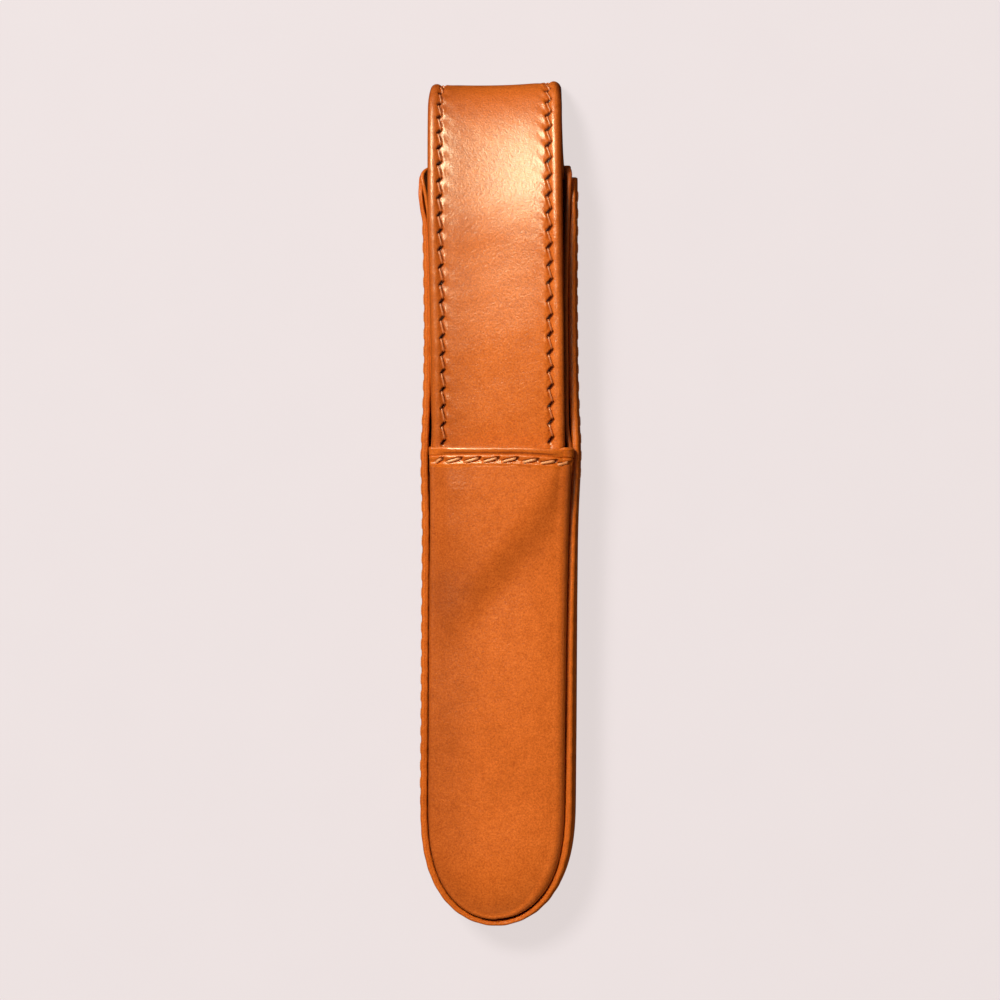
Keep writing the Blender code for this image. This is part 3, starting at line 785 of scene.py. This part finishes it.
def make_front(name, outer_depth, inner_depth, top_y, mat, toned=True):
    start = TOE_Y + TOE_LENGTH
    ys = np.concatenate([np.arange(top_y, -26.0, -0.4), np.linspace(-26.0, start, 60)])
    p, n, _ = outline(top_y, 1, 90, ends=ys)
    rings, tones = [], []
    for i in range(len(p)):
        a, ta = hood_profile(p[i], n[i], outer_depth)
        b, tb = hood_profile(p[i], n[i], inner_depth)
        rings.append(a + b[::-1])
        tones.append(ta + tb[::-1])
    v, f, t = open_sweep(rings, tones)
    obj = make_object(name, v, f, mat, t if toned else None)
    weld(obj)
    return obj


def wing_edge(side, y):
    """The wing's outer face at its upper edge."""
    if side < 0:
        ys = [10, 54, 58, 61, 63, 64.5, 65.6, 66.5, 67.1, 67.4]
        xs = [-13.3, -14.1, -14.42, -14.85, -15.25, -15.55, -15.6, -15.25, -14.7, -14.35]
    else:
        ys = [10, 40, 54, 58, 62, 65.4, 66.4, 67.1, 67.4]
        xs = [14.0, 13.75, 14.1, 14.25, 14.42, 14.62, 14.5, 14.15, 13.9]
    return float(np.interp(y, ys, xs))


def make_wing(side, mat):
    """The front shell's wall runs on past the mouth to the open top."""
    ys = np.concatenate([
        np.linspace(FRONT_END_Y + 0.02, WING_TOP_Y - 7, 100, endpoint=False),
        np.linspace(WING_TOP_Y - 7, WING_TOP_Y - 0.02, 60),
    ])
    rings, tones = [], []
    for y in ys:
        inset = hood_inset(np.array([-float(side), 0.0]), y)
        foot = side * (straight_half(y) - inset) + drift(y)
        edge = wing_edge(side, y) + 0.05 * float(hash_wave(np.array(y * 0.5), 4.0 + side))
        near = float(1 - sm((y - FRONT_END_Y) / 6.0))
        edge = edge + (foot - edge) * near
        u = float(np.clip((y - (WING_TOP_Y - 4.5)) / 4.5, 0, 1))
        top = WING_Z + 0.5 - 5.5 * (1 - math.sqrt(max(0.0, 1 - (u * 0.985) ** 2)))
        thick = 0.72 if side < 0 else 0.92
        if side > 0:
            thick += 0.40 * float(sm((y - 64.0) / 2.0))
        ring = []
        r = thick / 2
        zs = np.linspace(WALL_LOW_Z + 0.3, top - r, 11)

        def at(d, z):
            w = float(sm((z - 6.5) / 6.5))
            return (foot + (edge - foot) * w - side * d, y, z)

        for z in zs:
            ring.append(at(0.0, z))
        for k in range(1, 8):
            ang = math.pi * k / 8
            ring.append(at(r - r * math.cos(ang), top - r + r * math.sin(ang)))
        for z in zs[::-1]:
            ring.append(at(thick, z))
        for k in range(1, 4):
            ang = math.pi * k / 4
            ring.append(at(r + r * math.cos(ang), WALL_LOW_Z + 0.3 - 0.3 * math.sin(ang)))
        rings.append(ring)
        # painted shade: the walls and inner face are darker, and the right wing's top is as dark as its walls
        tones.append([0.80] * 11 + [0.97 if side < 0 else 0.80] * 7 + [0.62] * 14)
    v, f, t = face_out(*loft(rings, tones, zipper=False))
    return v, f, t


# ---------------------------------------------------------------- mouth hem
def hood_edge_point(side, y, offset=0.0):
    """The x of the hood's outer wall at y."""
    inset = hood_inset(np.array([-float(side), 0.0]), y)
    return side * (straight_half(y) - inset) + drift(y)


def arch_point(u, y, offset):
    """The front panel's section at y, offset outwards: u from -1 (left) to 1 (right), by
    distance along the arch. Returns x, z and the outward normal (x, z)."""
    xl, xr = hood_edge_point(-1, y), hood_edge_point(1, y)
    mid = float(drift(y))
    side = 1 if u >= 0 else -1
    half = abs((xr if side > 0 else xl) - mid)
    radius = hood_roll(-side)
    top = float(crown_top(y))
    drop = float(edge_drop(y)) + (0.45 if side > 0 else 0.0)
    a0 = math.atan(drop * 2.6 * (1 - radius / half) ** 1.6 / half)
    flat = half - radius * (1 - math.sin(a0))
    low = 1.6
    arc = radius * (math.pi / 2 - a0)
    total = flat + arc + low
    s = abs(u) * total

    def surface(x):
        away = half - x
        share = np.clip(1 - away / half, 0, 1)
        r = float(relief(np.array(mid + side * x), np.array(y))) * (0.25 + 0.75 * float(sm(away / 4.0)))
        return top - drop * share**2.6 + r

    if s <= flat:
        x = s
        z = surface(x)
        slope = (surface(min(x + 0.05, flat)) - surface(x - 0.05)) / (min(x + 0.05, flat) - x + 0.05)
        nx, nz = -slope, 1.0
        k = math.hypot(nx, nz)
        nx, nz = nx / k, nz / k
    else:
        zf = surface(flat)
        if s <= flat + arc:
            a = a0 + (s - flat) / radius
            nx, nz = math.sin(a), math.cos(a)
            x = flat + radius * (math.sin(a) - math.sin(a0))
            z = zf - radius * (math.cos(a0) - math.cos(a))
        else:
            nx, nz = 1.0, 0.0
            x = half
            z = zf - radius * math.cos(a0) - (s - flat - arc)
    return mid + side * (x + nx * offset), z + nz * offset, side * nx, nz


HEM_HOLES_X = [-11.0, -7.25, -3.55, 0.15, 3.95, 7.95, 11.55, 15.1]
HEM_FINE = 0.12


def hem_sag(x, y):
    """The mouth's edge droops to the right and turns up in an ear at its end."""
    low = 0.60 * np.clip((x - 3.0) / 9.0, 0, 1.25) ** 1.2 + 0.16 * np.clip((-x - 5.0) / 7.0, 0, 1.2)
    high = 0.50 * np.clip((x - 4.0) / 8.0, 0, 1.1) ** 1.6 - 0.42 * sm((x - 12.2) / 1.0)
    w = sm((y - 9.0) / 1.6)
    return low * (1 - w) + high * w


HEM_PROFILE = np.array([
    (6.3, -0.10), (6.6, -0.03), (6.85, -0.02), (7.05, -0.012), (7.3, -0.002), (7.6, 0.03), (7.85, 0.09),
    (8.05, 0.05), (8.25, -0.08), (8.42, -0.10), (8.6, 0.0), (8.8, 0.18), (9.0, 0.30), (9.2, 0.36),
    (9.36, 0.34), (9.48, 0.24), (9.58, 0.13), (9.68, 0.15), (9.84, 0.30), (10.05, 0.46),
    (10.35, 0.60), (10.65, 0.66), (10.9, 0.58), (11.05, 0.42), (11.16, 0.16),
    (11.22, -0.15),
])
HEM_BACK = [(11.22, -0.45), (11.1, -0.85), (10.85, -1.12), (10.4, -1.26), (9.6, -1.30), (8.6, -1.32),
            (7.4, -1.32), (6.4, -1.32), (6.2, -1.1), (6.2, -0.7), (6.22, -0.35)]


def hem_rows():
    ys = [6.3, 6.6, 6.85, 7.05, 7.2]
    step = HEM_FINE
    ys += list(np.arange(7.3, 11.0, step)) + [11.02, 11.1, 11.17, 11.22]
    front = [(y, float(np.interp(y, HEM_PROFILE[:, 0], HEM_PROFILE[:, 1])), True) for y in ys]
    return front + [(y, o, False) for y, o in HEM_BACK]


def hem_detail(x, y):
    """Stitch furrows and holes on the hem, as a change of height and painted shade: a shadow line above each thread and
    dark holes.
    """
    dz, dark = 0.0, 0.0
    for xh in HEM_HOLES_X:
        if abs(x - xh + 1.5) > 3.2:
            continue
        ax, ay, bx, by = xh - (1.2 if xh < -10.5 else 2.9), 8.12, xh - 0.05, 8.98
        length = math.hypot(bx - ax, by - ay)
        tx, ty = (bx - ax) / length, (by - ay) / length
        along = (x - ax) * tx + (y - ay) * ty
        across = (y - ay) * tx - (x - ax) * ty
        run = float(sm((along + 0.25) / 0.5) * (1 - sm((along - length + 0.1) / 0.45)))
        dz -= 0.16 * math.exp(-((across / 0.30) ** 2)) * run
        # painted shadow along the upper side of each thread's furrow
        dark += 0.62 * math.exp(-(((across - 0.30) / 0.13) ** 2)) * run
        hx, hy = x - xh - 0.12, y - 8.92
        ha, hc = hx * 0.62 + hy * 0.78, hx * 0.78 - hy * 0.62
        hole = math.exp(-((hc / 0.24) ** 2) - (ha / 0.42) ** 4)
        dz -= 0.42 * hole
        # the hole is painted dark: painted shade
        dark += 0.95 * hole
        # the lip of leather under the next stitch's start
        dz += 0.07 * math.exp(-(((x - ax + 0.3) / 0.8) ** 2) - ((y - 7.85) / 0.35) ** 2)
    return dz, min(dark, 0.96)


def make_hem(mat):
    rows = hem_rows()
    count = 280
    rings, tones = [], []
    for i in range(count + 1):
        u = -1 + 2 * i / count
        ring, tone = [], []
        x_mid, _, nx_mid, nz_mid = arch_point(u, 9.5, 0.0)
        # thinner down the walls, more so on the left
        thin = 1.0 - (0.60 if nx_mid < 0 else 0.30) * abs(nx_mid) ** 1.5
        groove = float(sm((x_mid + 12.3) / 3.0) * (1 - sm((x_mid - 10.2) / 2.4)))
        for y, off, outside in rows:
            o = off
            t = 1.0
            if outside:
                if 9.6 < y < 10.6:
                    flat = 0.47 + 0.11 * (y - 9.6)
                    o = flat + (o - flat) * groove
                    # painted shade in the groove under the roll
                    t -= 0.50 * groove * math.exp(-(((y - 10.02) / 0.13) ** 2))
                if y < 9.3 and nz_mid > 0.3:
                    dz, dark = hem_detail(x_mid, y)
                    o += dz
                    t -= dark
                elif y < 9.3:
                    o = max(o, 0.1)
                o += 0.03 * float(hash_wave(np.array(x_mid * 0.9 + y * 0.3), 6.0))
                o *= thin if o > 0 else 1.0
            else:
                # the turned-under back is painted darker: painted shade
                t = 0.62
            yy = min(y, FRONT_END_Y)
            x, z, nx, nz = arch_point(u, yy, o)
            ring.append((x, y - float(hem_sag(np.array(x_mid), np.array(y))) * (1.0 if y > 7.2 else 0.5), z))
            tone.append(max(t, 0.03))
        rings.append(ring)
        tones.append(tone)
    v, f, t = face_out(*loft(rings, tones, zipper=False))
    return make_object("mouth_hem_leather", v, f, mat, t)


def arch_u(x, y):
    lo, hi = -1.0, 1.0
    for _ in range(24):
        m = (lo + hi) / 2
        if arch_point(m, y, 0.0)[0] < x:
            lo = m
        else:
            hi = m
    return lo


def make_hem_stitches(mat):
    parts = []
    for k, xh in enumerate(HEM_HOLES_X):
        if xh > 14:
            xh, start = 14.1, 11.95
        else:
            start = xh - (1.25 if k == 0 else 3.0)
        ends = []
        for x, y, o in ((start, 8.13, 0.10), (xh - 0.10, 8.93, 0.16)):
            u = arch_u(min(max(x, -13.1), 14.2), 8.5)
            px, pz, nx, nz = arch_point(u, 8.5, o)
            ends.append(((px, y - float(hem_sag(np.array(px), np.array(y))), pz), (nx, nz)))
        (a, na), (b, nb) = ends
        out = np.array([(na[0] + nb[0]) / 2, 0, (na[1] + nb[1]) / 2])
        out /= np.linalg.norm(out)
        parts.append(stitch(a, b, out, 0.27, 0.20, sides=12, steps=22, sink=0.42, seed=k * 1.3))
    v, f, t = merge(parts)
    return make_object("mouth_stitches", v, f, mat)


# ---------------------------------------------------------------- materials
def new_material(name):
    mat = bpy.data.materials.new(name)
    mat.use_nodes = True
    nt = mat.node_tree
    return mat, nt, nt.nodes["Principled BSDF"]


def node(nt, kind, **props):
    n = nt.nodes.new(kind)
    for k, v in props.items():
        setattr(n, k, v)
    return n


def noise(nt, coord, scale, detail=3.0, rough=0.5, stretch=None):
    n = node(nt, "ShaderNodeTexNoise")
    n.inputs["Scale"].default_value = scale
    n.inputs["Detail"].default_value = detail
    n.inputs["Roughness"].default_value = rough
    src = coord
    if stretch is not None:
        mp = node(nt, "ShaderNodeMapping")
        mp.inputs["Scale"].default_value = stretch
        nt.links.new(coord, mp.inputs["Vector"])
        src = mp.outputs["Vector"]
    nt.links.new(src, n.inputs["Vector"])
    return n.outputs["Fac"]


def ramp(nt, fac, stops):
    n = node(nt, "ShaderNodeValToRGB")
    r = n.color_ramp
    r.elements[0].position, r.elements[0].color = stops[0][0], (*stops[0][1], 1)
    r.elements[1].position, r.elements[1].color = stops[-1][0], (*stops[-1][1], 1)
    for pos, col in stops[1:-1]:
        e = r.elements.new(pos)
        e.color = (*col, 1)
    nt.links.new(fac, n.inputs["Fac"])
    return n.outputs["Color"]


def mix(nt, kind, fac, a, b):
    n = node(nt, "ShaderNodeMix", data_type="RGBA", blend_type=kind)
    for sock, val in ((n.inputs["Factor"], fac), (n.inputs["A"], a), (n.inputs["B"], b)):
        if isinstance(val, (int, float)):
            sock.default_value = val
        elif isinstance(val, tuple):
            sock.default_value = (*val, 1)
        else:
            nt.links.new(val, sock)
    return n.outputs["Result"]


def maths(nt, op, a, b=None, c=None, clamp=False):
    n = node(nt, "ShaderNodeMath", operation=op, use_clamp=clamp)
    for sock, val in zip(n.inputs, (a, b, c)):
        if val is None:
            continue
        if isinstance(val, (int, float)):
            sock.default_value = val
        else:
            nt.links.new(val, sock)
    return n.outputs["Value"]


def leather(name, deep, mid, light, rough=0.36, coat=0.18, grain=1.0, toned=True):
    mat, nt, bsdf = new_material(name)
    coord = node(nt, "ShaderNodeTexCoord").outputs["Object"]
    broad = noise(nt, coord, 38.0, 4.0, 0.6)
    mottle = noise(nt, coord, 420.0, 3.0, 0.6)
    fine = noise(nt, coord, 2600.0, 2.0, 0.6)
    level = maths(nt, "ADD", maths(nt, "MULTIPLY", broad, 0.52), maths(nt, "MULTIPLY", mottle, 0.48))
    colour = ramp(nt, level, ((0.30, deep), (0.50, mid), (0.72, light)))
    # pores and pebbles
    cells = node(nt, "ShaderNodeTexVoronoi", feature="SMOOTH_F1")
    cells.inputs["Scale"].default_value = 1700.0
    cells.inputs["Smoothness"].default_value = 0.6
    cells.inputs["Randomness"].default_value = 1.0
    warp = mix(nt, "LINEAR_LIGHT", 0.0010, coord, node_colour(nt, coord, 1100.0))
    nt.links.new(warp, cells.inputs["Vector"])
    pebble = cells.outputs["Distance"]
    fleck = noise(nt, coord, 3400.0, 3.0, 0.75)
    speck = ramp(nt, fine, ((0.30, (0.82, 0.74, 0.68)), (0.5, (1, 1, 1)), (0.70, (1.11, 1.18, 1.35))))
    colour = mix(nt, "MULTIPLY", 1.0, colour, speck)
    speck = ramp(nt, fleck, ((0.34, (0.84, 0.77, 0.70)), (0.5, (1, 1, 1)), (0.68, (1.10, 1.20, 1.45))))
    colour = mix(nt, "MULTIPLY", 1.0, colour, speck)
    if toned:
        # the tone attribute darkens the colour: painted shade in holes, furrows and grooves, on rounded edges, walls,
        # inner faces and towards the left, and the dark line in the rim
        attr = node(nt, "ShaderNodeAttribute", attribute_name="tone", attribute_type="GEOMETRY")
        tone = attr.outputs["Fac"]
        colour = mix(nt, "MULTIPLY", 1.0, colour, ramp(nt, tone, ((0.0, (0.07, 0.025, 0.02)), (0.5, (0.42, 0.33, 0.28)), (1.0, (1, 1, 1)))))
    nt.links.new(colour, bsdf.inputs["Base Color"])
    r = maths(nt, "MULTIPLY_ADD", mottle, 0.10, rough - 0.07)
    r = maths(nt, "MULTIPLY_ADD", broad, 0.04, r)
    nt.links.new(r, bsdf.inputs["Roughness"])
    bsdf.inputs["Specular IOR Level"].default_value = 0.5
    bsdf.inputs["Coat Weight"].default_value = coat
    bsdf.inputs["Coat Roughness"].default_value = 0.32
    h = maths(nt, "MULTIPLY_ADD", pebble, -0.8, maths(nt, "MULTIPLY", fine, 0.55))
    h = maths(nt, "MULTIPLY_ADD", fleck, 0.22, h)
    h = maths(nt, "MULTIPLY_ADD", mottle, 0.9, h)
    b = node(nt, "ShaderNodeBump")
    b.inputs["Strength"].default_value = 1.0
    b.inputs["Distance"].default_value = 0.000040 * grain
    nt.links.new(h, b.inputs["Height"])
    nt.links.new(b.outputs["Normal"], bsdf.inputs["Normal"])
    nt.links.new(b.outputs["Normal"], bsdf.inputs["Coat Normal"])
    return mat


def node_colour(nt, coord, scale):
    n = node(nt, "ShaderNodeTexNoise")
    n.inputs["Scale"].default_value = scale
    n.inputs["Detail"].default_value = 2.0
    nt.links.new(coord, n.inputs["Vector"])
    return n.outputs["Color"]


def suede(name, dark, light):
    mat, nt, bsdf = new_material(name)
    coord = node(nt, "ShaderNodeTexCoord").outputs["Object"]
    nap = noise(nt, coord, 3200.0, 3.0, 0.7)
    patch = noise(nt, coord, 160.0, 3.0, 0.6)
    level = maths(nt, "ADD", maths(nt, "MULTIPLY", nap, 0.5), maths(nt, "MULTIPLY", patch, 0.5))
    nt.links.new(ramp(nt, level, ((0.32, dark), (0.68, light))), bsdf.inputs["Base Color"])
    bsdf.inputs["Roughness"].default_value = 0.95
    bsdf.inputs["Specular IOR Level"].default_value = 0.2
    bsdf.inputs["Sheen Weight"].default_value = 0.35
    bsdf.inputs["Sheen Roughness"].default_value = 0.5
    b = node(nt, "ShaderNodeBump")
    b.inputs["Strength"].default_value = 0.6
    b.inputs["Distance"].default_value = 0.00012
    nt.links.new(nap, b.inputs["Height"])
    nt.links.new(b.outputs["Normal"], bsdf.inputs["Normal"])
    return mat


def yarn(name, dark, light):
    mat, nt, bsdf = new_material(name)
    coord = node(nt, "ShaderNodeTexCoord").outputs["Object"]
    fibre = noise(nt, coord, 5200.0, 2.0, 0.6)
    patch = noise(nt, coord, 700.0, 2.0, 0.5)
    level = maths(nt, "ADD", maths(nt, "MULTIPLY", fibre, 0.6), maths(nt, "MULTIPLY", patch, 0.4))
    nt.links.new(ramp(nt, level, ((0.33, dark), (0.66, light))), bsdf.inputs["Base Color"])
    bsdf.inputs["Roughness"].default_value = 0.52
    bsdf.inputs["Coat Weight"].default_value = 0.12
    bsdf.inputs["Coat Roughness"].default_value = 0.3
    b = node(nt, "ShaderNodeBump")
    b.inputs["Strength"].default_value = 0.5
    b.inputs["Distance"].default_value = 0.00006
    nt.links.new(fibre, b.inputs["Height"])
    nt.links.new(b.outputs["Normal"], bsdf.inputs["Normal"])
    return mat


def fibre_board(name):
    mat, nt, bsdf = new_material(name)
    coord = node(nt, "ShaderNodeTexCoord").outputs["Object"]
    flecks = noise(nt, coord, 1500.0, 4.0, 0.7, stretch=(1.0, 0.3, 1.0))
    nt.links.new(ramp(nt, flecks, ((0.35, (0.10, 0.065, 0.04)), (0.65, (0.24, 0.17, 0.11)))), bsdf.inputs["Base Color"])
    bsdf.inputs["Roughness"].default_value = 0.9
    b = node(nt, "ShaderNodeBump")
    b.inputs["Strength"].default_value = 0.5
    b.inputs["Distance"].default_value = 0.00008
    nt.links.new(flecks, b.inputs["Height"])
    nt.links.new(b.outputs["Normal"], bsdf.inputs["Normal"])
    return mat


TAN = leather("cognac_leather", (0.58, 0.118, 0.007), (0.69, 0.146, 0.011), (0.78, 0.174, 0.016), coat=0.0)
# a darker copy of the leather for the right wing: painted shade where the strap shades it; rougher too
SHADED_WING = leather("cognac_leather_wing_painted_shade", (0.50, 0.098, 0.006), (0.60, 0.120, 0.009), (0.70, 0.150, 0.014), rough=0.55, coat=0.0)
# the panel's copy is a touch lighter, most in blue: painted sheen standing in for the strap card's light, which it does
# not get
PANEL = leather("cognac_leather_panel", (0.585, 0.121, 0.010), (0.695, 0.149, 0.015), (0.785, 0.177, 0.021), rough=0.40, coat=0.0)
HEM = leather("cognac_leather_hem", (0.58, 0.118, 0.006), (0.69, 0.146, 0.010), (0.78, 0.176, 0.016), rough=0.34, coat=0.0)
SUEDE = suede("tan_suede", (0.30, 0.135, 0.055), (0.50, 0.26, 0.125))
THREAD = yarn("light_tan_thread", (0.64, 0.200, 0.050), (0.92, 0.39, 0.15))
THREAD_STRAP = yarn("tan_thread", (0.46, 0.11, 0.024), (0.72, 0.21, 0.06))
BOARD = fibre_board("bonded_leather_board")

# ---------------------------------------------------------------- pieces on the case
tray = make_tray(TAN)
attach(tray, "case")
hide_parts("back_shell")

hood = make_front("front_shell_leather", 0.0, 0.9, FRONT_END_Y, PANEL)
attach(hood, "case")
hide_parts("front_shell")

pocket = make_front("front_pocket_lining", 0.93, 1.32, FRONT_END_Y - 0.9, SUEDE, toned=False)
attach(pocket, "case")
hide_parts("front_lining")

for side, word in ((-1, "left"), (1, "right")):
    v, f, t = make_wing(side, SHADED_WING)
    # the right wing takes the darker copy: painted shade
    wing = make_object(f"side_wing_{word}", v, f, SHADED_WING if side > 0 else TAN, t)
    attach(wing, "case")

hem = make_hem(HEM)
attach(hem, "case")
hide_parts("mouth_binding")

hem_thread = make_hem_stitches(THREAD)
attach(hem_thread, "case")
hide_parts("mouth_thread")

side_thread = make_side_stitches(THREAD)
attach(side_thread, "case")
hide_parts("side_seam_thread")

# ---------------------------------------------------------------- the strap, cut where it is rigid
SPLIT_LOW, SPLIT_HIGH = 31.4, 40.2
STEP = 0.17


def joint_at(name):
    for j in frame["joints"]:
        if j["name"] == name:
            return np.array(j["pos_m"], float)
    raise ValueError(name)


def tangent(s):
    _, _, ny, nz = strap_frame(s)
    return np.array([0.0, -nz, ny])


back_fold, crown_fold, flap_fold = (joint_at(k) for k in ("back_fold", "crown_fold", "flap_fold"))
t_low = np.array([0.0, 0.5, 0.866])
c_low = np.array([0.0, 0.0828, 0.0020])
t_mid, t_high = tangent(AT["lower"]), tangent(AT["upper"])
ZONES = {
    "neck": ("case", "fold_lower", c_low - t_low * 0.0015, c_low + t_low * 0.0015),
    "crown": ("fold_lower", "fold_upper", crown_fold - t_mid * 0.0024, crown_fold + t_mid * 0.0024),
    "flap": ("fold_upper", "flap", flap_fold - t_high * 0.0062, flap_fold + t_high * 0.0062),
}
SPANS = {"neck": (NECK_S, SPLIT_LOW), "crown": (SPLIT_LOW, SPLIT_HIGH), "flap": (SPLIT_HIGH, TIP - 0.02)}
LEATHER_NODES = {"neck": ["fold_lower_leather"], "crown": ["fold_upper_leather"], "flap": ["flap_leather", "tongue_leather"]}
LINING_NODES = {"neck": ["fold_lower_lining"], "crown": ["fold_upper_lining"], "flap": ["flap_lining", "tongue_lining"]}
THREAD_NODES = {
    "neck": ["fold_lower_thread_left", "fold_lower_thread_right"],
    "crown": ["fold_upper_thread_left", "fold_upper_thread_right"],
    "flap": ["flap_thread_left", "flap_thread_right"],
}
for part, (a, b, start, end) in ZONES.items():
    s0, s1 = SPANS[part]
    v, f, t = strap_leather(s0, s1, STEP)
    piece = make_object(f"strap_{part}_leather", v, f, TAN, t)
    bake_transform(piece)
    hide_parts(*LEATHER_NODES[part])
    lo = AT["corner"] - 3.1 if part == "neck" else s0
    hi = TIP - 1.0 if part == "flap" else s1
    v, f, t = strap_lining(lo, hi, 0.5)
    piece = make_object(f"strap_{part}_lining", v, f, SUEDE)
    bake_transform(piece)
    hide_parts(*LINING_NODES[part])
    got = strap_stitches(s0, s1)
    piece = make_object(f"strap_{part}_stitches", got[0], got[1], THREAD_STRAP)
    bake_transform(piece)
    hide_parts(*THREAD_NODES[part])

# the stiffener follows the worn shape of the flap
ss = np.linspace(AT["upper"] + 4.0, AT["mouth"] - 2.6, 60)
rings = []
for s_at in ss:
    half = float(strap_half(s_at)) - 2.2
    xs = np.linspace(-half, half, 20)
    sag = dish(s_at) * (1 - (np.abs(xs) / (half + 2.2)) ** 2) * 0.9
    rings.append(np.concatenate([
        strap_offset(np.full(20, s_at), xs, 1.38 + sag),
        strap_offset(np.full(20, s_at), xs[::-1], (1.68 + sag)[::-1]),
    ]))
v, f, t = face_out(*loft(rings))
stiffener = make_object("flap_stiffener", v, f, BOARD)
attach(stiffener, "flap")
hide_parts("flap_board")

frame["nodes"]["back_board"].data.materials.clear()
frame["nodes"]["back_board"].data.materials.append(BOARD)
frame["nodes"]["back_lining"].data.materials.clear()
frame["nodes"]["back_lining"].data.materials.append(SUEDE)

# ---------------------------------------------------------------- floor, light, camera
bpy.ops.mesh.primitive_plane_add(size=6.0, location=(0, 0, -0.0002))
floor = bpy.context.object
floor.name = "floor"
fmat, fnt, fb = new_material("pale_floor")
fcoord = node(fnt, "ShaderNodeTexCoord").outputs["Object"]
fn = noise(fnt, fcoord, 60.0, 3.0)
fnt.links.new(ramp(fnt, fn, ((0.2, (0.114, 0.111, 0.132)), (0.8, (0.123, 0.120, 0.141)))), fb.inputs["Base Color"])
fb.inputs["Roughness"].default_value = 0.95
fb.inputs["Specular IOR Level"].default_value = 0.0
fb.inputs["Emission Color"].default_value = (0.966, 0.874, 0.860, 1)
fb.inputs["Emission Strength"].default_value = 0.75
floor.data.materials.append(fmat)
floor.visible_diffuse = False
floor.visible_glossy = False

world = bpy.data.worlds.new("studio")
bpy.context.scene.world = world
world.use_nodes = True
bg = world.node_tree.nodes["Background"]
wnt = world.node_tree
wdir = node(wnt, "ShaderNodeTexCoord").outputs["Generated"]
wsep = node(wnt, "ShaderNodeSeparateXYZ")
wnt.links.new(wdir, wsep.inputs["Vector"])
lit = maths(wnt, "MULTIPLY_ADD", wsep.outputs["Z"], 0.40, maths(wnt, "MULTIPLY_ADD", wsep.outputs["X"], -0.34, 0.5))
wnt.links.new(ramp(wnt, lit, ((0.36, (0.09, 0.06, 0.045)), (0.80, (0.95, 0.80, 0.66)))), bg.inputs["Color"])
bg.inputs["Strength"].default_value = 0.13


def area(name, where, aim, size, power, colour=(1, 1, 1)):
    data = bpy.data.lights.new(name, "AREA")
    data.shape = "RECTANGLE"
    data.size, data.size_y = size
    data.energy = power
    data.color = colour
    obj = bpy.data.objects.new(name, data)
    obj.location = where
    obj.rotation_euler = (Vector(aim) - Vector(where)).to_track_quat("-Z", "Y").to_euler()
    bpy.context.scene.collection.objects.link(obj)
    return obj


key = area("key", (-0.46, 0.50, 1.15), (0, 0.0, 0.015), (0.32, 0.32), 19.4, (1.0, 0.92, 0.80))
key.visible_glossy = False
card = area("card", (-0.215, 0.435, 0.435), (0, 0.055, 0.018), (0.18, 0.60), 14.0, (0.74, 1.0, 0.72))
card.visible_diffuse = False
# the strap's sheen is lit by its own card, and a dimmer one in the same place serves the rest
soft_card = area("soft_card", (-0.215, 0.435, 0.435), (0, 0.055, 0.018), (0.18, 0.60), 5.4, (0.74, 1.0, 0.72))
soft_card.visible_diffuse = False
for lamp, wanted in ((card, True), (soft_card, False)):
    lit_by = bpy.data.collections.new(f"lit_by_{lamp.name}")
    for obj in bpy.context.scene.objects:
        if obj.type == "MESH" and obj.name.startswith(("strap_", "mouth_")) == wanted:
            lit_by.objects.link(obj)
    lamp.light_linking.receiver_collection = lit_by
# weak low lights, so that the walls stay readable from the sides
for label, where in (("fill_right", (0.85, -0.1, 0.13)), ("fill_toe", (0.1, -0.85, 0.13)), ("fill_back", (-0.1, 0.9, 0.13))):
    fill = area(label, where, (0, 0, 0.01), (0.7, 0.2), 1.0, (1.0, 0.90, 0.80))
    fill.visible_glossy = False

cam_data = bpy.data.cameras.new("camera")
cam = bpy.data.objects.new("camera", cam_data)
bpy.context.scene.collection.objects.link(cam)
bpy.context.scene.camera = cam
ROLL = math.radians(3.0)
DIST = 1.2
aim = Vector((0.0, 0.0006, 0.0083))
cam.location = aim + Vector((math.sin(ROLL), 0, math.cos(ROLL))) * DIST
cam.rotation_euler = (0, ROLL, 0)
cam_data.sensor_width = 36.0
cam_data.lens = 36.0 * DIST / 0.2
cam_data.clip_start, cam_data.clip_end = 0.01, 20.0
bpy.context.scene.view_settings.view_transform = "Standard"
bpy.context.scene.view_settings.look = "None"
